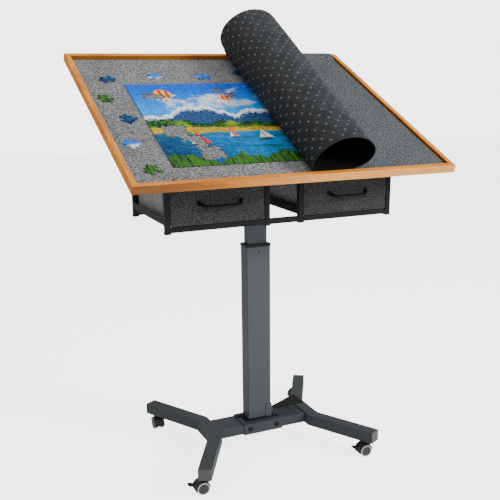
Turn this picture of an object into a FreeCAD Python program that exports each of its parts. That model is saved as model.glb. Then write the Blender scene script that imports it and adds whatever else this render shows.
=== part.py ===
import FreeCAD, Part
import math
import os
import re
import Sketcher

# Jigsaw puzzle table: a tilting felt board on a height-adjustable column, two
# drawers under it and a rolling base. Millimetres, +Z up, floor at z = 0,
# +X to the user's right and +Y away from the user.

SIZES = {
    # tilting board, measured across its wooden frame
    "board_width": 900.0,
    "board_depth": 732.0,
    "tilt": 24.35,
    "board_front_z": 865.0,
    "board_overhang": 320.0,
    "rail_height": 22.0,
    "rail_width": 16.0,
    "rail_round": 2.5,
    "recess": 12.0,
    "felt_thick": 2.0,
    "panel_thick": 8.0,
    "rebate": 6.0,
    # steel bearers under the board, and the tilt hinge
    "bearer_offset": 250.0,
    "bearer_width": 18.0,
    "bearer_height": 25.0,
    "bearer_wall": 2.0,
    "bearer_start": 95.0,
    "bearer_end": 672.0,
    "pivot_run": 140.0,
    "pivot_drop": 12.0,
    "pivot_radius": 4.0,
    "ear_thick": 3.0,
    "ear_round": 9.0,
    "rest_post_depth": 14.0,
    "rest_pad_thick": 5.0,
    # tilt quadrants and their clamp
    "quadrant_radius": 200.0,
    "quadrant_width": 32.0,
    "quadrant_thick": 3.0,
    "quadrant_tail": 4.5,
    "quadrant_flange": 20.0,
    "clamp_radius": 4.0,
    "clamp_head": 6.4,
    "clamp_head_height": 4.0,
    "clamp_run": 198.0,
    "cheek_thick": 3.0,
    "cheek_depth": 30.0,
    "cheek_height": 48.0,
    "knob_radius": 17.0,
    "knob_length": 22.0,
    "knob_lobes": 6,
    "knob_lobe_radius": 5.0,
    "knob_lobe_out": 1.7,
    "knob_bore": 16.5,
    # drawer units
    "unit_width": 290.0,
    "unit_gap": 86.6,
    "unit_depth": 303.0,
    "unit_front": 185.0,
    "unit_bottom": 722.0,
    "unit_height": 122.0,
    "tube": 14.0,
    "tube_wall": 1.5,
    "post_foot_height": 4.0,
    "post_foot_lip": 1.5,
    "runner_lift": 5.0,
    "runner_height": 20.0,
    "runner_width": 28.0,
    "runner_thick": 2.0,
    "drawer_side_gap": 2.0,
    "drawer_top_gap": 2.0,
    "drawer_front_thick": 8.0,
    "drawer_front_drop": 5.0,
    "drawer_wall": 4.0,
    "drawer_bottom": 3.0,
    "drawer_insert": 2.0,
    "drawer_rear_gap": 3.0,
    "drawer_setback": 1.0,
    "bin_round": 3.0,
    "front_round": 2.0,
    "handle_width": 120.0,
    "handle_reach": 29.0,
    "handle_root": 2.6,
    "handle_flare": 20.0,
    "handle_bend": 9.0,
    "handle_droop": 28.0,
    "handle_height": 76.5,
    "handle_thick": 7.0,
    "handle_foot": 6.5,
    "handle_plate": 3.5,
    # lifting column
    "column_y": 8.0,
    "column_width": 75.0,
    "column_depth": 48.0,
    "column_wall": 2.5,
    "column_top": 623.0,
    "inner_width": 60.0,
    "inner_depth": 30.0,
    "inner_wall": 2.0,
    "inner_bottom": 225.0,
    "bush_height": 40.0,
    "collar_plug": 30.0,
    "collar_lip": 7.0,
    "collar_over": 1.5,
    "spring_radius": 11.0,
    "spring_bore": 8.5,
    "spring_bottom": 400.0,
    "spring_end": 12.0,
    "rod_radius": 4.0,
    "rod_top": 700.0,
    "piston_height": 10.0,
    # base
    "foot_height": 34.0,
    "foot_width": 38.0,
    "foot_wall": 2.0,
    "foot_mid_x": 164.0,
    "foot_mid_half": 57.3,
    "arm_length": 217.6,
    "arm_angle": 29.3,
    "stub_width": 82.4,
    "stub_height": 28.4,
    "stub_gap": 3.0,
    "sleeve_length": 128.0,
    "sleeve_width": 88.0,
    "sleeve_wall": 2.5,
    "cap_thick": 3.0,
    "cap_plug": 12.0,
    "plate_width": 100.0,
    "plate_depth": 62.0,
    "plate_thick": 3.0,
    "bolt_radius": 6.0,
    "bolt_head": 3.5,
    "bolt_shank": 3.0,
    "bolt_length": 12.0,
    "side_bolt_x": 44.0,
    "top_bolt_x": 56.0,
    "top_bolt_y": 22.0,
    # height release pedal
    "pedal_pivot_x": 50.0,
    "pedal_pivot_y": 15.0,
    "pedal_pivot_z": 92.0,
    "pedal_pin": 3.0,
    "pedal_hub": 6.0,
    "pedal_hub_length": 18.0,
    "pedal_length": 104.0,
    "pedal_neck": 9.0,
    "pedal_tip_front": 26.0,
    "pedal_tip_back": 42.0,
    "pedal_thick": 3.0,
    "pedal_rise": 6.0,
    "bracket_thick": 2.0,
    "bracket_wrap": 18.75,
    "bracket_height": 40.0,
    # casters
    "caster_inset": 22.0,
    "caster_height": 46.0,
    "wheel_radius": 18.0,
    "wheel_width": 10.5,
    "hub_radius": 14.0,
    "hub_dish": 1.2,
    "caster_trail": 13.0,
    "web_half": 5.5,
    "hood_clear": 1.2,
    "hood_thick": 2.6,
    "hood_half": 16.6,
    "stem_radius": 4.0,
    "web_foot": 8.0,
    "web_edge": 1.4,
    "rib_back": 9.0,
    "stem_boss": 9.0,
    "stem_boss_height": 10.0,
    "stem_flange": 8.0,
    "stem_flange_height": 3.7,
    "stem_grip": 20.0,
    "stem_thread": 18.0,
    "axle_radius": 2.5,
    "lever_length": 19.0,
    "lever_width": 18.0,
    "lever_thick": 3.0,
    "lever_hub": 3.6,
    "lever_pin": 1.5,
    "lever_hub_length": 9.0,
    "lever_neck": 7.6,
    "lever_root": 5.7,
    "lever_curl": 4.5,
    "lever_angle": 30.0,
    "fender_front": 6.0,
    "fender_back": 10.0,
    # puzzle, loose pieces and rolled cover mat
    "puzzle_width": 620.0,
    "puzzle_height": 452.0,
    "puzzle_thick": 2.0,
    "puzzle_side_gap": 112.0,
    "puzzle_back_gap": 175.0,
    "piece_size": 34.0,
    "piece_knob": 6.0,
    "piece_knob_out": 3.3,
    "mat_thick": 3.0,
    "mat_front_gap": 6.0,
    "mat_back_gap": 2.0,
    "mat_edge_gap": 4.0,
    "roll_centre": 110.0,
    "roll_half_width": 85.0,
    "roll_front_height": 100.0,
    "roll_back_height": 152.0,
    "roll_lap": 0.1,
    # clearances
    "soft_gap": 0.3,
    "slide_gap": 0.3,
    "pin_gap": 0.05,
    "bolt_gap": 0.3,
}

# Places that follow from the sizes.
PLACES = {
    "felt_z": "-recess",
    "inside_half": "board_width / 2 - rail_width",
    "inside_back": "board_depth - rail_width",
    "mat_front": "rail_width + mat_front_gap",
    "mat_back": "inside_back - mat_back_gap",
    "puzzle_left": "puzzle_side_gap - inside_half",
    "puzzle_front": "inside_back - puzzle_back_gap - puzzle_height",
    "mat_z": "felt_z + puzzle_thick + soft_gap",
    "roll_pitch": "mat_thick + 4 * soft_gap",
    "front_reach": "mat_front * cos(tilt) - (mat_z + roll_front_height - roll_pitch / 2) * sin(tilt)",
    "board_front_y": "-(front_reach + board_depth * cos(tilt) + rail_height * sin(tilt)) / 2",
    "base_y": "board_front_y + board_overhang",
    "pivot_y": "board_front_y + pivot_run * cos(tilt) + (rail_height + pivot_drop) * sin(tilt)",
    "pivot_z": "board_front_z + pivot_run * sin(tilt) - (rail_height + pivot_drop) * cos(tilt)",
    "leg_bottom": "caster_height",
    "leg_top": "caster_height + foot_height",
    "arm_end_x": "foot_mid_x + arm_length * sin(arm_angle)",
    "arm_end_y": "foot_mid_half + arm_length * cos(arm_angle)",
    "caster_x": "arm_end_x - caster_inset * sin(arm_angle)",
    "caster_y": "arm_end_y - caster_inset * cos(arm_angle)",
    "column_mid_y": "base_y + column_y",
    "column_foot": "leg_top + plate_thick",
    "unit_inner_x": "unit_gap / 2",
    "unit_outer_x": "unit_gap / 2 + unit_width",
    "unit_mid_x": "(unit_gap + unit_width) / 2",
    "unit_front_y": "base_y - unit_front",
    "unit_back_y": "base_y - unit_front + unit_depth",
    "unit_top": "unit_bottom + unit_height",
    "head_bottom": "unit_top - tube",
    "runner_z": "unit_bottom + tube + runner_lift",
    "bin_bottom": "runner_z + runner_thick + slide_gap",
    "bin_top": "head_bottom - drawer_top_gap",
    "bin_half": "unit_width / 2 - tube - drawer_side_gap",
    "drawer_y": "unit_front_y + drawer_setback",
    "bin_y": "drawer_y + drawer_front_thick",
    "bin_depth": "unit_depth - drawer_setback - drawer_front_thick - drawer_rear_gap",
    "handle_z": "unit_bottom + handle_height",
    "pad_top": "pivot_z - (bearer_height - pivot_drop) - soft_gap",
    "clamp_y": "pivot_y + clamp_run",
    "clamp_z": "pivot_z - sqrt(quadrant_radius * quadrant_radius - clamp_run * clamp_run)",
    "cheek_x": "inner_width / 2",
    "quadrant_x": "cheek_x + cheek_thick + slide_gap",
    "quadrant_outer_x": "quadrant_x + quadrant_thick",
    "knob_x": "quadrant_outer_x + slide_gap",
    "panel_z": "-recess - felt_thick - panel_thick",
    "wheel_inner": "web_half + slide_gap",
    "hood_inner": "wheel_radius + hood_clear",
    "hood_outer": "wheel_radius + hood_clear + hood_thick",
    "stem_bottom": "caster_height - stem_grip",
    "boss_top": "caster_height - stem_flange_height - slide_gap",
    "lever_reach": "hood_outer + lever_hub - hood_thick / 2",
    "lever_x": "-caster_trail - lever_reach * cos(lever_angle)",
    "lever_z": "wheel_radius + lever_reach * sin(lever_angle)",
}

doc = FreeCAD.newDocument("puzzle_table")
sizes = doc.addObject("Spreadsheet::Sheet", "sizes")
places = doc.addObject("Spreadsheet::Sheet", "places")
parts = []


def bound(expression):
    """Point every name in an expression at its cell."""
    def cell(match):
        name = match.group(0)
        if name in SIZES:
            return "sizes." + name
        if name in PLACES:
            return "places." + name
        return name
    return re.sub(r"[A-Za-z_][A-Za-z_0-9]*", cell, expression)


def value(expression):
    """The present value of an expression, for pieces shaped in code."""
    return float(sizes.evalExpression(bound(expression)))


def fill_sheets():
    for row, (alias, number) in enumerate(SIZES.items(), 1):
        sizes.set("A%d" % row, alias)
        sizes.set("B%d" % row, str(number))
        sizes.setAlias("B%d" % row, alias)
    doc.recompute()
    for row, (alias, formula) in enumerate(PLACES.items(), 1):
        places.set("A%d" % row, alias)
        places.set("B%d" % row, "=" + bound(formula))
        places.setAlias("B%d" % row, alias)
        doc.recompute()


def vector(x, y, z):
    return "create(<<vector>>; %s; %s; %s)" % (bound(x), bound(y), bound(z))


def placement(at, axis=("0", "0", "1"), angle="0"):
    turn = "create(<<rotation>>; %s; %s)" % (vector(*axis), bound(angle))
    return "create(<<placement>>; %s; %s)" % (vector(*at), turn)


# The board's own frame: its origin is the middle of the front rail's top
# outer edge, x to the right, y up the slope and z out of the felt.
ON_BOARD = placement(("0", "board_front_y", "board_front_z"), ("1", "0", "0"), "tilt") + " * "


def place(obj, at=("0", "0", "0"), axis=("0", "0", "1"), angle="0", frame=""):
    obj.setExpression("Placement", frame + placement(at, axis, angle))
    return obj


def part(obj, label):
    """Name a finished sub-part."""
    obj.Label = label
    parts.append(obj)
    return obj


# ---- Part primitives ----

# Turning axis and angle that lay a piece built along z along each axis.
ALONG = {"Z": (("0", "0", "1"), "0"), "X": (("0", "1", "0"), "90"), "Y": (("1", "0", "0"), "-90")}
# Repeated rounds are many-sided, which keeps the mesh light.
WHEEL_SIDES = 36
HOOD_SIDES = 24
HEAD_SIDES = 12
HEX_SIDES = 6
LOBE_SIDES = 8


def box(size, at, frame="", axis=("0", "0", "1"), angle="0"):
    block = doc.addObject("Part::Box", "block")
    for name, expression in zip(("Length", "Width", "Height"), size):
        block.setExpression(name, bound(expression))
    return place(block, at, axis, angle, frame)


def cylinder(radius, length, at, along="Z", frame=""):
    """A cylinder that starts at a point and runs along an axis."""
    rod = doc.addObject("Part::Cylinder", "rod")
    rod.setExpression("Radius", bound(radius))
    rod.setExpression("Height", bound(length))
    return place(rod, at, *ALONG[along], frame)


def prism(radius, sides, length, at, along="Z", frame=""):
    """A many-sided bar that starts at a point and runs along an axis."""
    bar = doc.addObject("Part::Prism", "bar")
    bar.Polygon = sides
    bar.setExpression("Circumradius", bound(radius))
    bar.setExpression("Height", bound(length))
    return place(bar, at, *ALONG[along], frame)


def cut(base, tool):
    result = doc.addObject("Part::Cut", "cut")
    result.Base = base
    result.Tool = tool
    return result


def fuse(pieces):
    result = doc.addObject("Part::MultiFuse", "fused")
    result.Shapes = pieces
    return result


def group(pieces):
    """Separate solids kept together in one sub-part."""
    result = doc.addObject("Part::Compound", "pieces")
    result.Links = pieces
    return result


def square_tube(size, at, wall, along, frame=""):
    """A rectangular tube, open at both ends along one axis."""
    index = "XYZ".index(along)
    inner_size = ["%s - 2 * %s" % (side, wall) for side in size]
    inner_at = ["%s + %s" % (corner, wall) for corner in at]
    inner_size[index] = size[index]
    inner_at[index] = at[index]
    return cut(box(size, at, frame), box(inner_size, inner_at, frame))


# ---- PartDesign features ----

def new_body(label):
    body = doc.addObject("PartDesign::Body", label)
    return part(body, label)


def sketch_on(body, role, lift="0"):
    """A sketch on one of the body's own origin planes, moved along its normal."""
    plane = [item for item in body.Origin.OriginFeatures if item.Role == role][0]
    sketch = body.newObject("Sketcher::SketchObject", "profile")
    sketch.AttachmentSupport = (plane, [""])
    sketch.MapMode = "FlatFace"
    sketch.setExpression("AttachmentOffset.Base.z", bound(lift))
    return sketch


def bind_point(sketch, geometry, position, point):
    """Hold a sketch point at a pair of expressions from the sketch's origin."""
    for kind, expression in zip(("DistanceX", "DistanceY"), point):
        index = sketch.addConstraint(Sketcher.Constraint(kind, -1, 1, geometry, position, value(expression)))
        sketch.setExpression("Constraints[%d]" % index, bound(expression))


def outline(sketch, points):
    """A closed run of straight lines through points given as expressions."""
    first = sketch.GeometryCount
    corners = [FreeCAD.Vector(value(x), value(y), 0) for x, y in points]
    count = len(points)
    for index in range(count):
        sketch.addGeometry(Part.LineSegment(corners[index], corners[(index + 1) % count]))
    for index in range(count):
        following = first + (index + 1) % count
        sketch.addConstraint(Sketcher.Constraint("Coincident", first + index, 2, following, 1))
        bind_point(sketch, first + index, 1, points[index])


def rectangle(sketch, left, bottom, right, top):
    outline(sketch, [(left, bottom), (right, bottom), (right, top), (left, top)])


def circle(sketch, centre, radius):
    middle = FreeCAD.Vector(value(centre[0]), value(centre[1]), 0)
    index = sketch.addGeometry(Part.Circle(middle, FreeCAD.Vector(0, 0, 1), value(radius)))
    bind_point(sketch, index, 3, centre)
    size = sketch.addConstraint(Sketcher.Constraint("Radius", index, value(radius)))
    sketch.setExpression("Constraints[%d]" % size, bound(radius))


def many_sided(sketch, centre, radius, sides):
    """A regular outline around a centre, its first corner on the sketch's x axis."""
    angles = [index * 360.0 / sides for index in range(sides)]
    outline(sketch, [("%s + %s * cos(%s)" % (centre[0], radius, angle), "%s + %s * sin(%s)" % (centre[1], radius, angle))
                     for angle in angles])


def pad(body, sketch, length, both_ways=False, reverse=False):
    feature = body.newObject("PartDesign::Pad", "pad")
    feature.Profile = sketch
    feature.setExpression("Length", bound(length))
    feature.Reversed = reverse
    if both_ways:
        feature.SideType = "Symmetric"
    return feature


def pocket(body, sketch, depth, both_ways=False, reverse=False):
    """Cut a sketch into a body, and make sure that it removed something."""
    before = solid_volume(body)
    feature = body.newObject("PartDesign::Pocket", "pocket")
    feature.Profile = sketch
    feature.setExpression("Length", bound(depth))
    feature.Reversed = reverse
    if both_ways:
        feature.SideType = "Symmetric"
    if solid_volume(body) >= before:
        raise RuntimeError("a pocket in %s cuts nothing" % body.Label)
    return feature


def solid_volume(body):
    doc.recompute()
    return body.Shape.Volume


def revolve(body, sketch, axis_role):
    feature = body.newObject("PartDesign::Revolution", "turned")
    feature.Profile = sketch
    line = [item for item in body.Origin.OriginFeatures if item.Role == axis_role][0]
    feature.ReferenceAxis = (line, [""])
    feature.Angle = 360
    return feature


def round_edges(body, radius, wanted):
    """Fillet the body's present edges that a test picks."""
    doc.recompute()
    base = body.Tip
    names = ["Edge%d" % index for index, edge in enumerate(base.Shape.Edges, 1) if wanted(edge)]
    feature = body.newObject("PartDesign::Fillet", "rounded")
    feature.Base = (base, names)
    feature.setExpression("Radius", bound(radius))
    return feature


def runs_along(edge, direction):
    if edge.Curve.TypeId != "Part::GeomLine":
        return False
    return abs(abs(edge.tangentAt(edge.FirstParameter).dot(direction)) - 1) < 1e-6


X_AXIS = FreeCAD.Vector(1, 0, 0)
Z_AXIS = FreeCAD.Vector(0, 0, 1)
SIDES = (("left", "-1"), ("right", "1"))


# ---- base ----

def make_foot(name, side):
    """One hollow V-shaped foot with its stub for the middle sleeve."""
    def sheet_outline(inset):
        half = "(foot_width / 2 - %s)" % inset
        bend = "tan(arm_angle / 2)"
        end_x = "(arm_end_x + %s * sin(arm_angle))" % inset
        end_y = "(arm_end_y + %s * cos(arm_angle))" % inset
        quarter = [
            ("foot_mid_x - %s" % half, "foot_mid_half + %s * %s" % (half, bend)),
            ("%s - %s * cos(arm_angle)" % (end_x, half), "%s + %s * sin(arm_angle)" % (end_y, half)),
            ("%s + %s * cos(arm_angle)" % (end_x, half), "%s - %s * sin(arm_angle)" % (end_y, half)),
            ("foot_mid_x + %s" % half, "foot_mid_half - %s * %s" % (half, bend)),
        ]
        back = [("%s * (%s)" % (side, x), "base_y + %s" % y) for x, y in quarter]
        front = [("%s * (%s)" % (side, x), "base_y - (%s)" % y) for x, y in reversed(quarter)]
        return back + front

    body = new_body(name)
    plan = sketch_on(body, "XY_Plane", "leg_bottom")
    outline(plan, sheet_outline("0"))
    pad(body, plan, "foot_height")
    stub = sketch_on(body, "XY_Plane", "leg_bottom + (foot_height - stub_height) / 2")
    stub_end = "%s * stub_gap" % side
    rectangle(stub, stub_end, "base_y - stub_width / 2", "%s * foot_mid_x" % side, "base_y + stub_width / 2")
    pad(body, stub, "stub_height")
    hollow = sketch_on(body, "XY_Plane", "leg_bottom + foot_wall")
    outline(hollow, sheet_outline("foot_wall"))
    pocket(body, hollow, "foot_height - 2 * foot_wall", reverse=True)
    stub_hollow = sketch_on(body, "XY_Plane", "leg_bottom + (foot_height - stub_height) / 2 + foot_wall")
    rectangle(stub_hollow, stub_end, "base_y - stub_width / 2 + foot_wall",
              "%s * (foot_mid_x - foot_width / 2)" % side, "base_y + stub_width / 2 - foot_wall")
    pocket(body, stub_hollow, "stub_height - 2 * foot_wall", reverse=True)
    holes = sketch_on(body, "XY_Plane", "leg_bottom")
    for end in ("-", "+"):
        circle(holes, ("%s * caster_x" % side, "base_y %s caster_y" % end), "stem_radius + pin_gap")
    pocket(body, holes, "foot_wall", reverse=True)
    return body


def make_foot_caps():
    """Plugs that close the four arm ends."""
    caps = []
    for _, side in SIDES:
        for end in ("-1", "1"):
            turn = "%s * %s * -arm_angle" % (side, end)
            mid = ("%s * arm_end_x" % side, "base_y + %s * arm_end_y" % end)
            frame = placement((mid[0], mid[1], "leg_bottom"), ("0", "0", "1"), turn) + " * "
            start = "0" if end == "1" else "-cap_thick"
            plate = box(("foot_width", "cap_thick", "foot_height"), ("-foot_width / 2", start, "0"), frame)
            plug_start = "-cap_plug" if end == "1" else "0"
            inside = "foot_width - 2 * foot_wall"
            plug = box((inside, "cap_plug", "foot_height - 2 * foot_wall"),
                       ("-foot_width / 2 + foot_wall", plug_start, "foot_wall"), frame)
            caps.append(fuse([plate, plug]))
    part(group(caps), "foot_end_caps")


def button_bolt(at, direction):
    """A round-headed bolt: its head stands on the point, its shank goes in."""
    along = direction[1]
    sign = direction[0]
    index = "XYZ".index(along)
    head_at = list(at)
    shank_at = list(at)
    if sign == "-":
        head_at[index] = "%s - bolt_head" % at[index]
        shank_at[index] = at[index]
    else:
        shank_at[index] = "%s - bolt_length" % at[index]
    head = prism("bolt_radius", HEAD_SIDES, "bolt_head", head_at, along)
    shank = prism("bolt_shank", HEX_SIDES, "bolt_length", shank_at, along)
    return fuse([head, shank])


def bolt_hole(at, direction, depth):
    """The clearance hole that a button bolt passes through."""
    along = direction[1]
    index = "XYZ".index(along)
    start = list(at)
    if direction[0] == "+":
        start[index] = "%s - (%s)" % (at[index], depth)
    return cylinder("bolt_shank", depth, start, along)


def sleeve_bolts():
    """Place and facing of each bolt that holds the feet in the sleeve."""
    spots = []
    for sign in ("-", ""):
        x = "%sside_bolt_x" % sign
        spots.append(((x, "base_y - sleeve_width / 2", "leg_bottom + foot_height / 2"), "-Y"))
        spots.append(((x, "base_y + sleeve_width / 2", "leg_bottom + foot_height / 2"), "+Y"))
    spots.append((("-top_bolt_x", "base_y + top_bolt_y", "leg_top"), "+Z"))
    spots.append((("top_bolt_x", "base_y - top_bolt_y", "leg_top"), "+Z"))
    return spots


def drill_stub(foot, side):
    """Bolt holes through a foot's stub, matching the sleeve's."""
    tools = [bolt_hole(at, facing, "sleeve_wall + slide_gap + bolt_length")
             for at, facing in sleeve_bolts() if at[0].startswith("-") == (side == "-1")]
    drilled = cut(foot, fuse(tools))
    name = foot.Label
    parts.remove(foot)
    foot.Label = name + "_weldment"
    return part(drilled, name)


def make_base():
    for name, side in SIDES:
        drill_stub(make_foot(name + "_foot", side), side)
    make_foot_caps()
    sleeve = square_tube(("sleeve_length", "sleeve_width", "foot_height"),
                         ("-sleeve_length / 2", "base_y - sleeve_width / 2", "leg_bottom"),
                         "sleeve_wall", "X")
    holes = [bolt_hole(at, facing, "sleeve_wall") for at, facing in sleeve_bolts()]
    part(cut(sleeve, fuse(holes)), "base_sleeve")
    part(group([button_bolt(at, facing) for at, facing in sleeve_bolts()]), "base_bolts")
    part(box(("plate_width", "plate_depth", "plate_thick"),
             ("-plate_width / 2", "column_mid_y - plate_depth / 2", "leg_top")), "column_base_plate")
    make_column()
    make_pedal()


def make_column():
    """Fixed outer tube, its collar and the gas spring's rod."""
    tube = new_body("outer_column")
    ring = sketch_on(tube, "XY_Plane", "column_foot")
    rectangle(ring, "-column_width / 2", "column_mid_y - column_depth / 2",
              "column_width / 2", "column_mid_y + column_depth / 2")
    pad(tube, ring, "column_top - column_foot")
    round_edges(tube, "column_wall", lambda edge: runs_along(edge, Z_AXIS))
    bore = sketch_on(tube, "XY_Plane", "column_foot")
    rectangle(bore, "-column_width / 2 + column_wall", "column_mid_y - column_depth / 2 + column_wall",
              "column_width / 2 - column_wall", "column_mid_y + column_depth / 2 - column_wall")
    pocket(tube, bore, "column_top - column_foot", reverse=True)

    collar = new_body("column_collar")
    lip = sketch_on(collar, "XY_Plane", "column_top")
    rectangle(lip, "-column_width / 2 - collar_over", "column_mid_y - column_depth / 2 - collar_over",
              "column_width / 2 + collar_over", "column_mid_y + column_depth / 2 + collar_over")
    pad(collar, lip, "collar_lip")
    round_edges(collar, "column_wall", lambda edge: runs_along(edge, Z_AXIS))
    plug = sketch_on(collar, "XY_Plane", "column_top - collar_plug")
    rectangle(plug, "-column_width / 2 + column_wall", "column_mid_y - column_depth / 2 + column_wall",
              "column_width / 2 - column_wall", "column_mid_y + column_depth / 2 - column_wall")
    pad(collar, plug, "collar_plug")
    opening = sketch_on(collar, "XY_Plane", "column_top - collar_plug")
    rectangle(opening, "-inner_width / 2 - slide_gap", "column_mid_y - inner_depth / 2 - slide_gap",
              "inner_width / 2 + slide_gap", "column_mid_y + inner_depth / 2 + slide_gap")
    pocket(collar, opening, "collar_plug + collar_lip", reverse=True)

    rod = new_body("gas_spring_rod")
    profile = sketch_on(rod, "XZ_Plane")
    outline(profile, [("0", "column_foot"), ("rod_radius", "column_foot"),
                      ("rod_radius", "rod_top - piston_height"),
                      ("spring_bore - slide_gap", "rod_top - piston_height"),
                      ("spring_bore - slide_gap", "rod_top"), ("0", "rod_top")])
    revolve(rod, profile, "Z_Axis")
    place(rod, ("0", "column_mid_y", "0"))


def make_pedal():
    """Height release pedal and the bracket that carries it on the column."""
    face_x = "column_width / 2"
    front = "column_mid_y - column_depth / 2"
    wrap = box(("bracket_wrap", "bracket_thick", "bracket_height"),
               ("%s - bracket_wrap + bracket_thick" % face_x, "%s - bracket_thick" % front, "column_foot"))
    cheek = box(("bracket_thick", "column_depth", "bracket_height"), (face_x, front, "column_foot"))
    pieces = [wrap, cheek]
    hub_half = "(pedal_hub_length / 2 + slide_gap)"
    for start in ("-%s - bracket_thick" % hub_half, hub_half):
        y = "base_y + pedal_pivot_y + %s" % start
        web = box(("pedal_pivot_x - column_width / 2", "bracket_thick", "2 * pedal_hub"),
                  (face_x, y, "pedal_pivot_z - pedal_hub"))
        pieces += [web, cylinder("pedal_hub", "bracket_thick", ("pedal_pivot_x", y, "pedal_pivot_z"), "Y")]
    pin_start = "base_y + pedal_pivot_y - %s - bracket_thick" % hub_half
    pin = cylinder("pedal_pin", "pedal_hub_length + 2 * (slide_gap + bracket_thick)",
                   ("pedal_pivot_x", pin_start, "pedal_pivot_z"), "Y")
    part(fuse(pieces + [pin]), "pedal_bracket")

    pedal = new_body("height_pedal")
    tread = sketch_on(pedal, "XY_Plane", "-pedal_thick / 2")
    outline(tread, [("0", "-pedal_hub_length / 2"), ("pedal_neck", "-pedal_hub_length / 2"),
                    ("pedal_length", "-pedal_tip_front"), ("pedal_length", "pedal_tip_back"),
                    ("pedal_neck", "pedal_hub_length / 2"), ("0", "pedal_hub_length / 2")])
    pad(pedal, tread, "pedal_thick")
    hub = sketch_on(pedal, "XZ_Plane")
    circle(hub, ("0", "0"), "pedal_hub")
    pad(pedal, hub, "pedal_hub_length", both_ways=True)
    hole = sketch_on(pedal, "XZ_Plane")
    circle(hole, ("0", "0"), "pedal_pin + pin_gap")
    pocket(pedal, hole, "2 * pedal_hub_length", both_ways=True)
    place(pedal, ("pedal_pivot_x", "base_y + pedal_pivot_y", "pedal_pivot_z"), ("0", "1", "0"), "-pedal_rise")


# ---- casters ----

CASTERS = (("front_left", "-1", "-1", "0"), ("front_right", "1", "-1", "0"),
           ("back_left", "-1", "1", "90"), ("back_right", "1", "1", "0"))


def caster_frame(side, end, turn):
    """A caster's own frame: its swivel axis on the floor, its trail along -x."""
    return placement(("%s * caster_x" % side, "base_y + %s * caster_y" % end, "0"), ("0", "0", "1"), turn)


def make_hood(name, frame, braked):
    """Fender, middle web and stem boss of a twin-wheel caster, in one moulding."""
    wheel_middle = ("-caster_trail", "wheel_radius")
    hood = new_body("caster_hood_" + name)
    arch = sketch_on(hood, "XZ_Plane")
    many_sided(arch, wheel_middle, "hood_outer", HOOD_SIDES)
    pad(hood, arch, "2 * hood_half", both_ways=True)
    boss = sketch_on(hood, "XY_Plane", "boss_top - stem_boss_height")
    many_sided(boss, ("0", "0"), "stem_boss", HEAD_SIDES)
    pad(hood, boss, "stem_boss_height")
    if braked:
        ears = sketch_on(hood, "XZ_Plane")
        many_sided(ears, ("lever_x", "lever_z"), "lever_hub", HEAD_SIDES)
        pad(hood, ears, "lever_width", both_ways=True)
    wheel_room = sketch_on(hood, "XZ_Plane")
    many_sided(wheel_room, wheel_middle, "hood_inner", HOOD_SIDES)
    pocket(hood, wheel_room, "3 * hood_half", both_ways=True)
    under = sketch_on(hood, "XZ_Plane")
    outline(under, [("-caster_trail - 2 * wheel_radius", "-wheel_radius"),
                    ("-caster_trail + 2 * wheel_radius", "-wheel_radius"),
                    ("-caster_trail + 2 * wheel_radius", "wheel_radius + fender_front"), wheel_middle,
                    ("-caster_trail - 2 * wheel_radius", "wheel_radius - fender_back")])
    pocket(hood, under, "3 * hood_half", both_ways=True)
    web = sketch_on(hood, "XZ_Plane")
    outline(web, [("-caster_trail - web_foot", "web_foot"), ("-caster_trail + web_foot", "web_foot"),
                  ("stem_radius + web_edge", "stem_bottom - web_edge"),
                  ("stem_radius + web_edge", "boss_top - stem_boss_height + web_edge"),
                  ("0", "wheel_radius + hood_inner - web_edge"),
                  ("-caster_trail - rib_back", "wheel_radius + hood_inner - web_edge")])
    pad(hood, web, "2 * web_half", both_ways=True)
    if braked:
        slot = sketch_on(hood, "XZ_Plane")
        many_sided(slot, ("lever_x", "lever_z"), "(lever_hub + slide_gap)", HEAD_SIDES)
        pocket(hood, slot, "lever_hub_length + 2 * slide_gap", both_ways=True)
        pin = sketch_on(hood, "XZ_Plane")
        circle(pin, ("lever_x", "lever_z"), "lever_pin")
        pad(hood, pin, "lever_width", both_ways=True)
    axle = sketch_on(hood, "XZ_Plane")
    circle(axle, wheel_middle, "axle_radius + pin_gap")
    pocket(hood, axle, "3 * hood_half", both_ways=True)
    stem = sketch_on(hood, "XY_Plane", "stem_bottom - slide_gap")
    circle(stem, ("0", "0"), "stem_radius + pin_gap")
    pocket(hood, stem, "caster_height", reverse=True)
    hood.setExpression("Placement", frame)


def make_wheels(name, frame):
    """Two wheels with recessed outer faces, pressed on one axle."""
    discs = []
    for tread, recess in (("wheel_inner", "wheel_inner + wheel_width - hub_dish"),
                          ("-wheel_inner - wheel_width", "-wheel_inner - wheel_width")):
        disc = prism("wheel_radius", WHEEL_SIDES, "wheel_width", ("-caster_trail", tread, "wheel_radius"), "Y",
                     frame + " * ")
        room = prism("hub_radius", HOOD_SIDES, "hub_dish", ("-caster_trail", recess, "wheel_radius"), "Y",
                     frame + " * ")
        discs.append(cut(disc, room))
    axle = prism("axle_radius", HEAD_SIDES, "2 * (wheel_inner + wheel_width / 2)",
                 ("-caster_trail", "-(wheel_inner + wheel_width / 2)", "wheel_radius"), "Y", frame + " * ")
    part(fuse(discs + [axle]), "caster_wheels_" + name)


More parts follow.
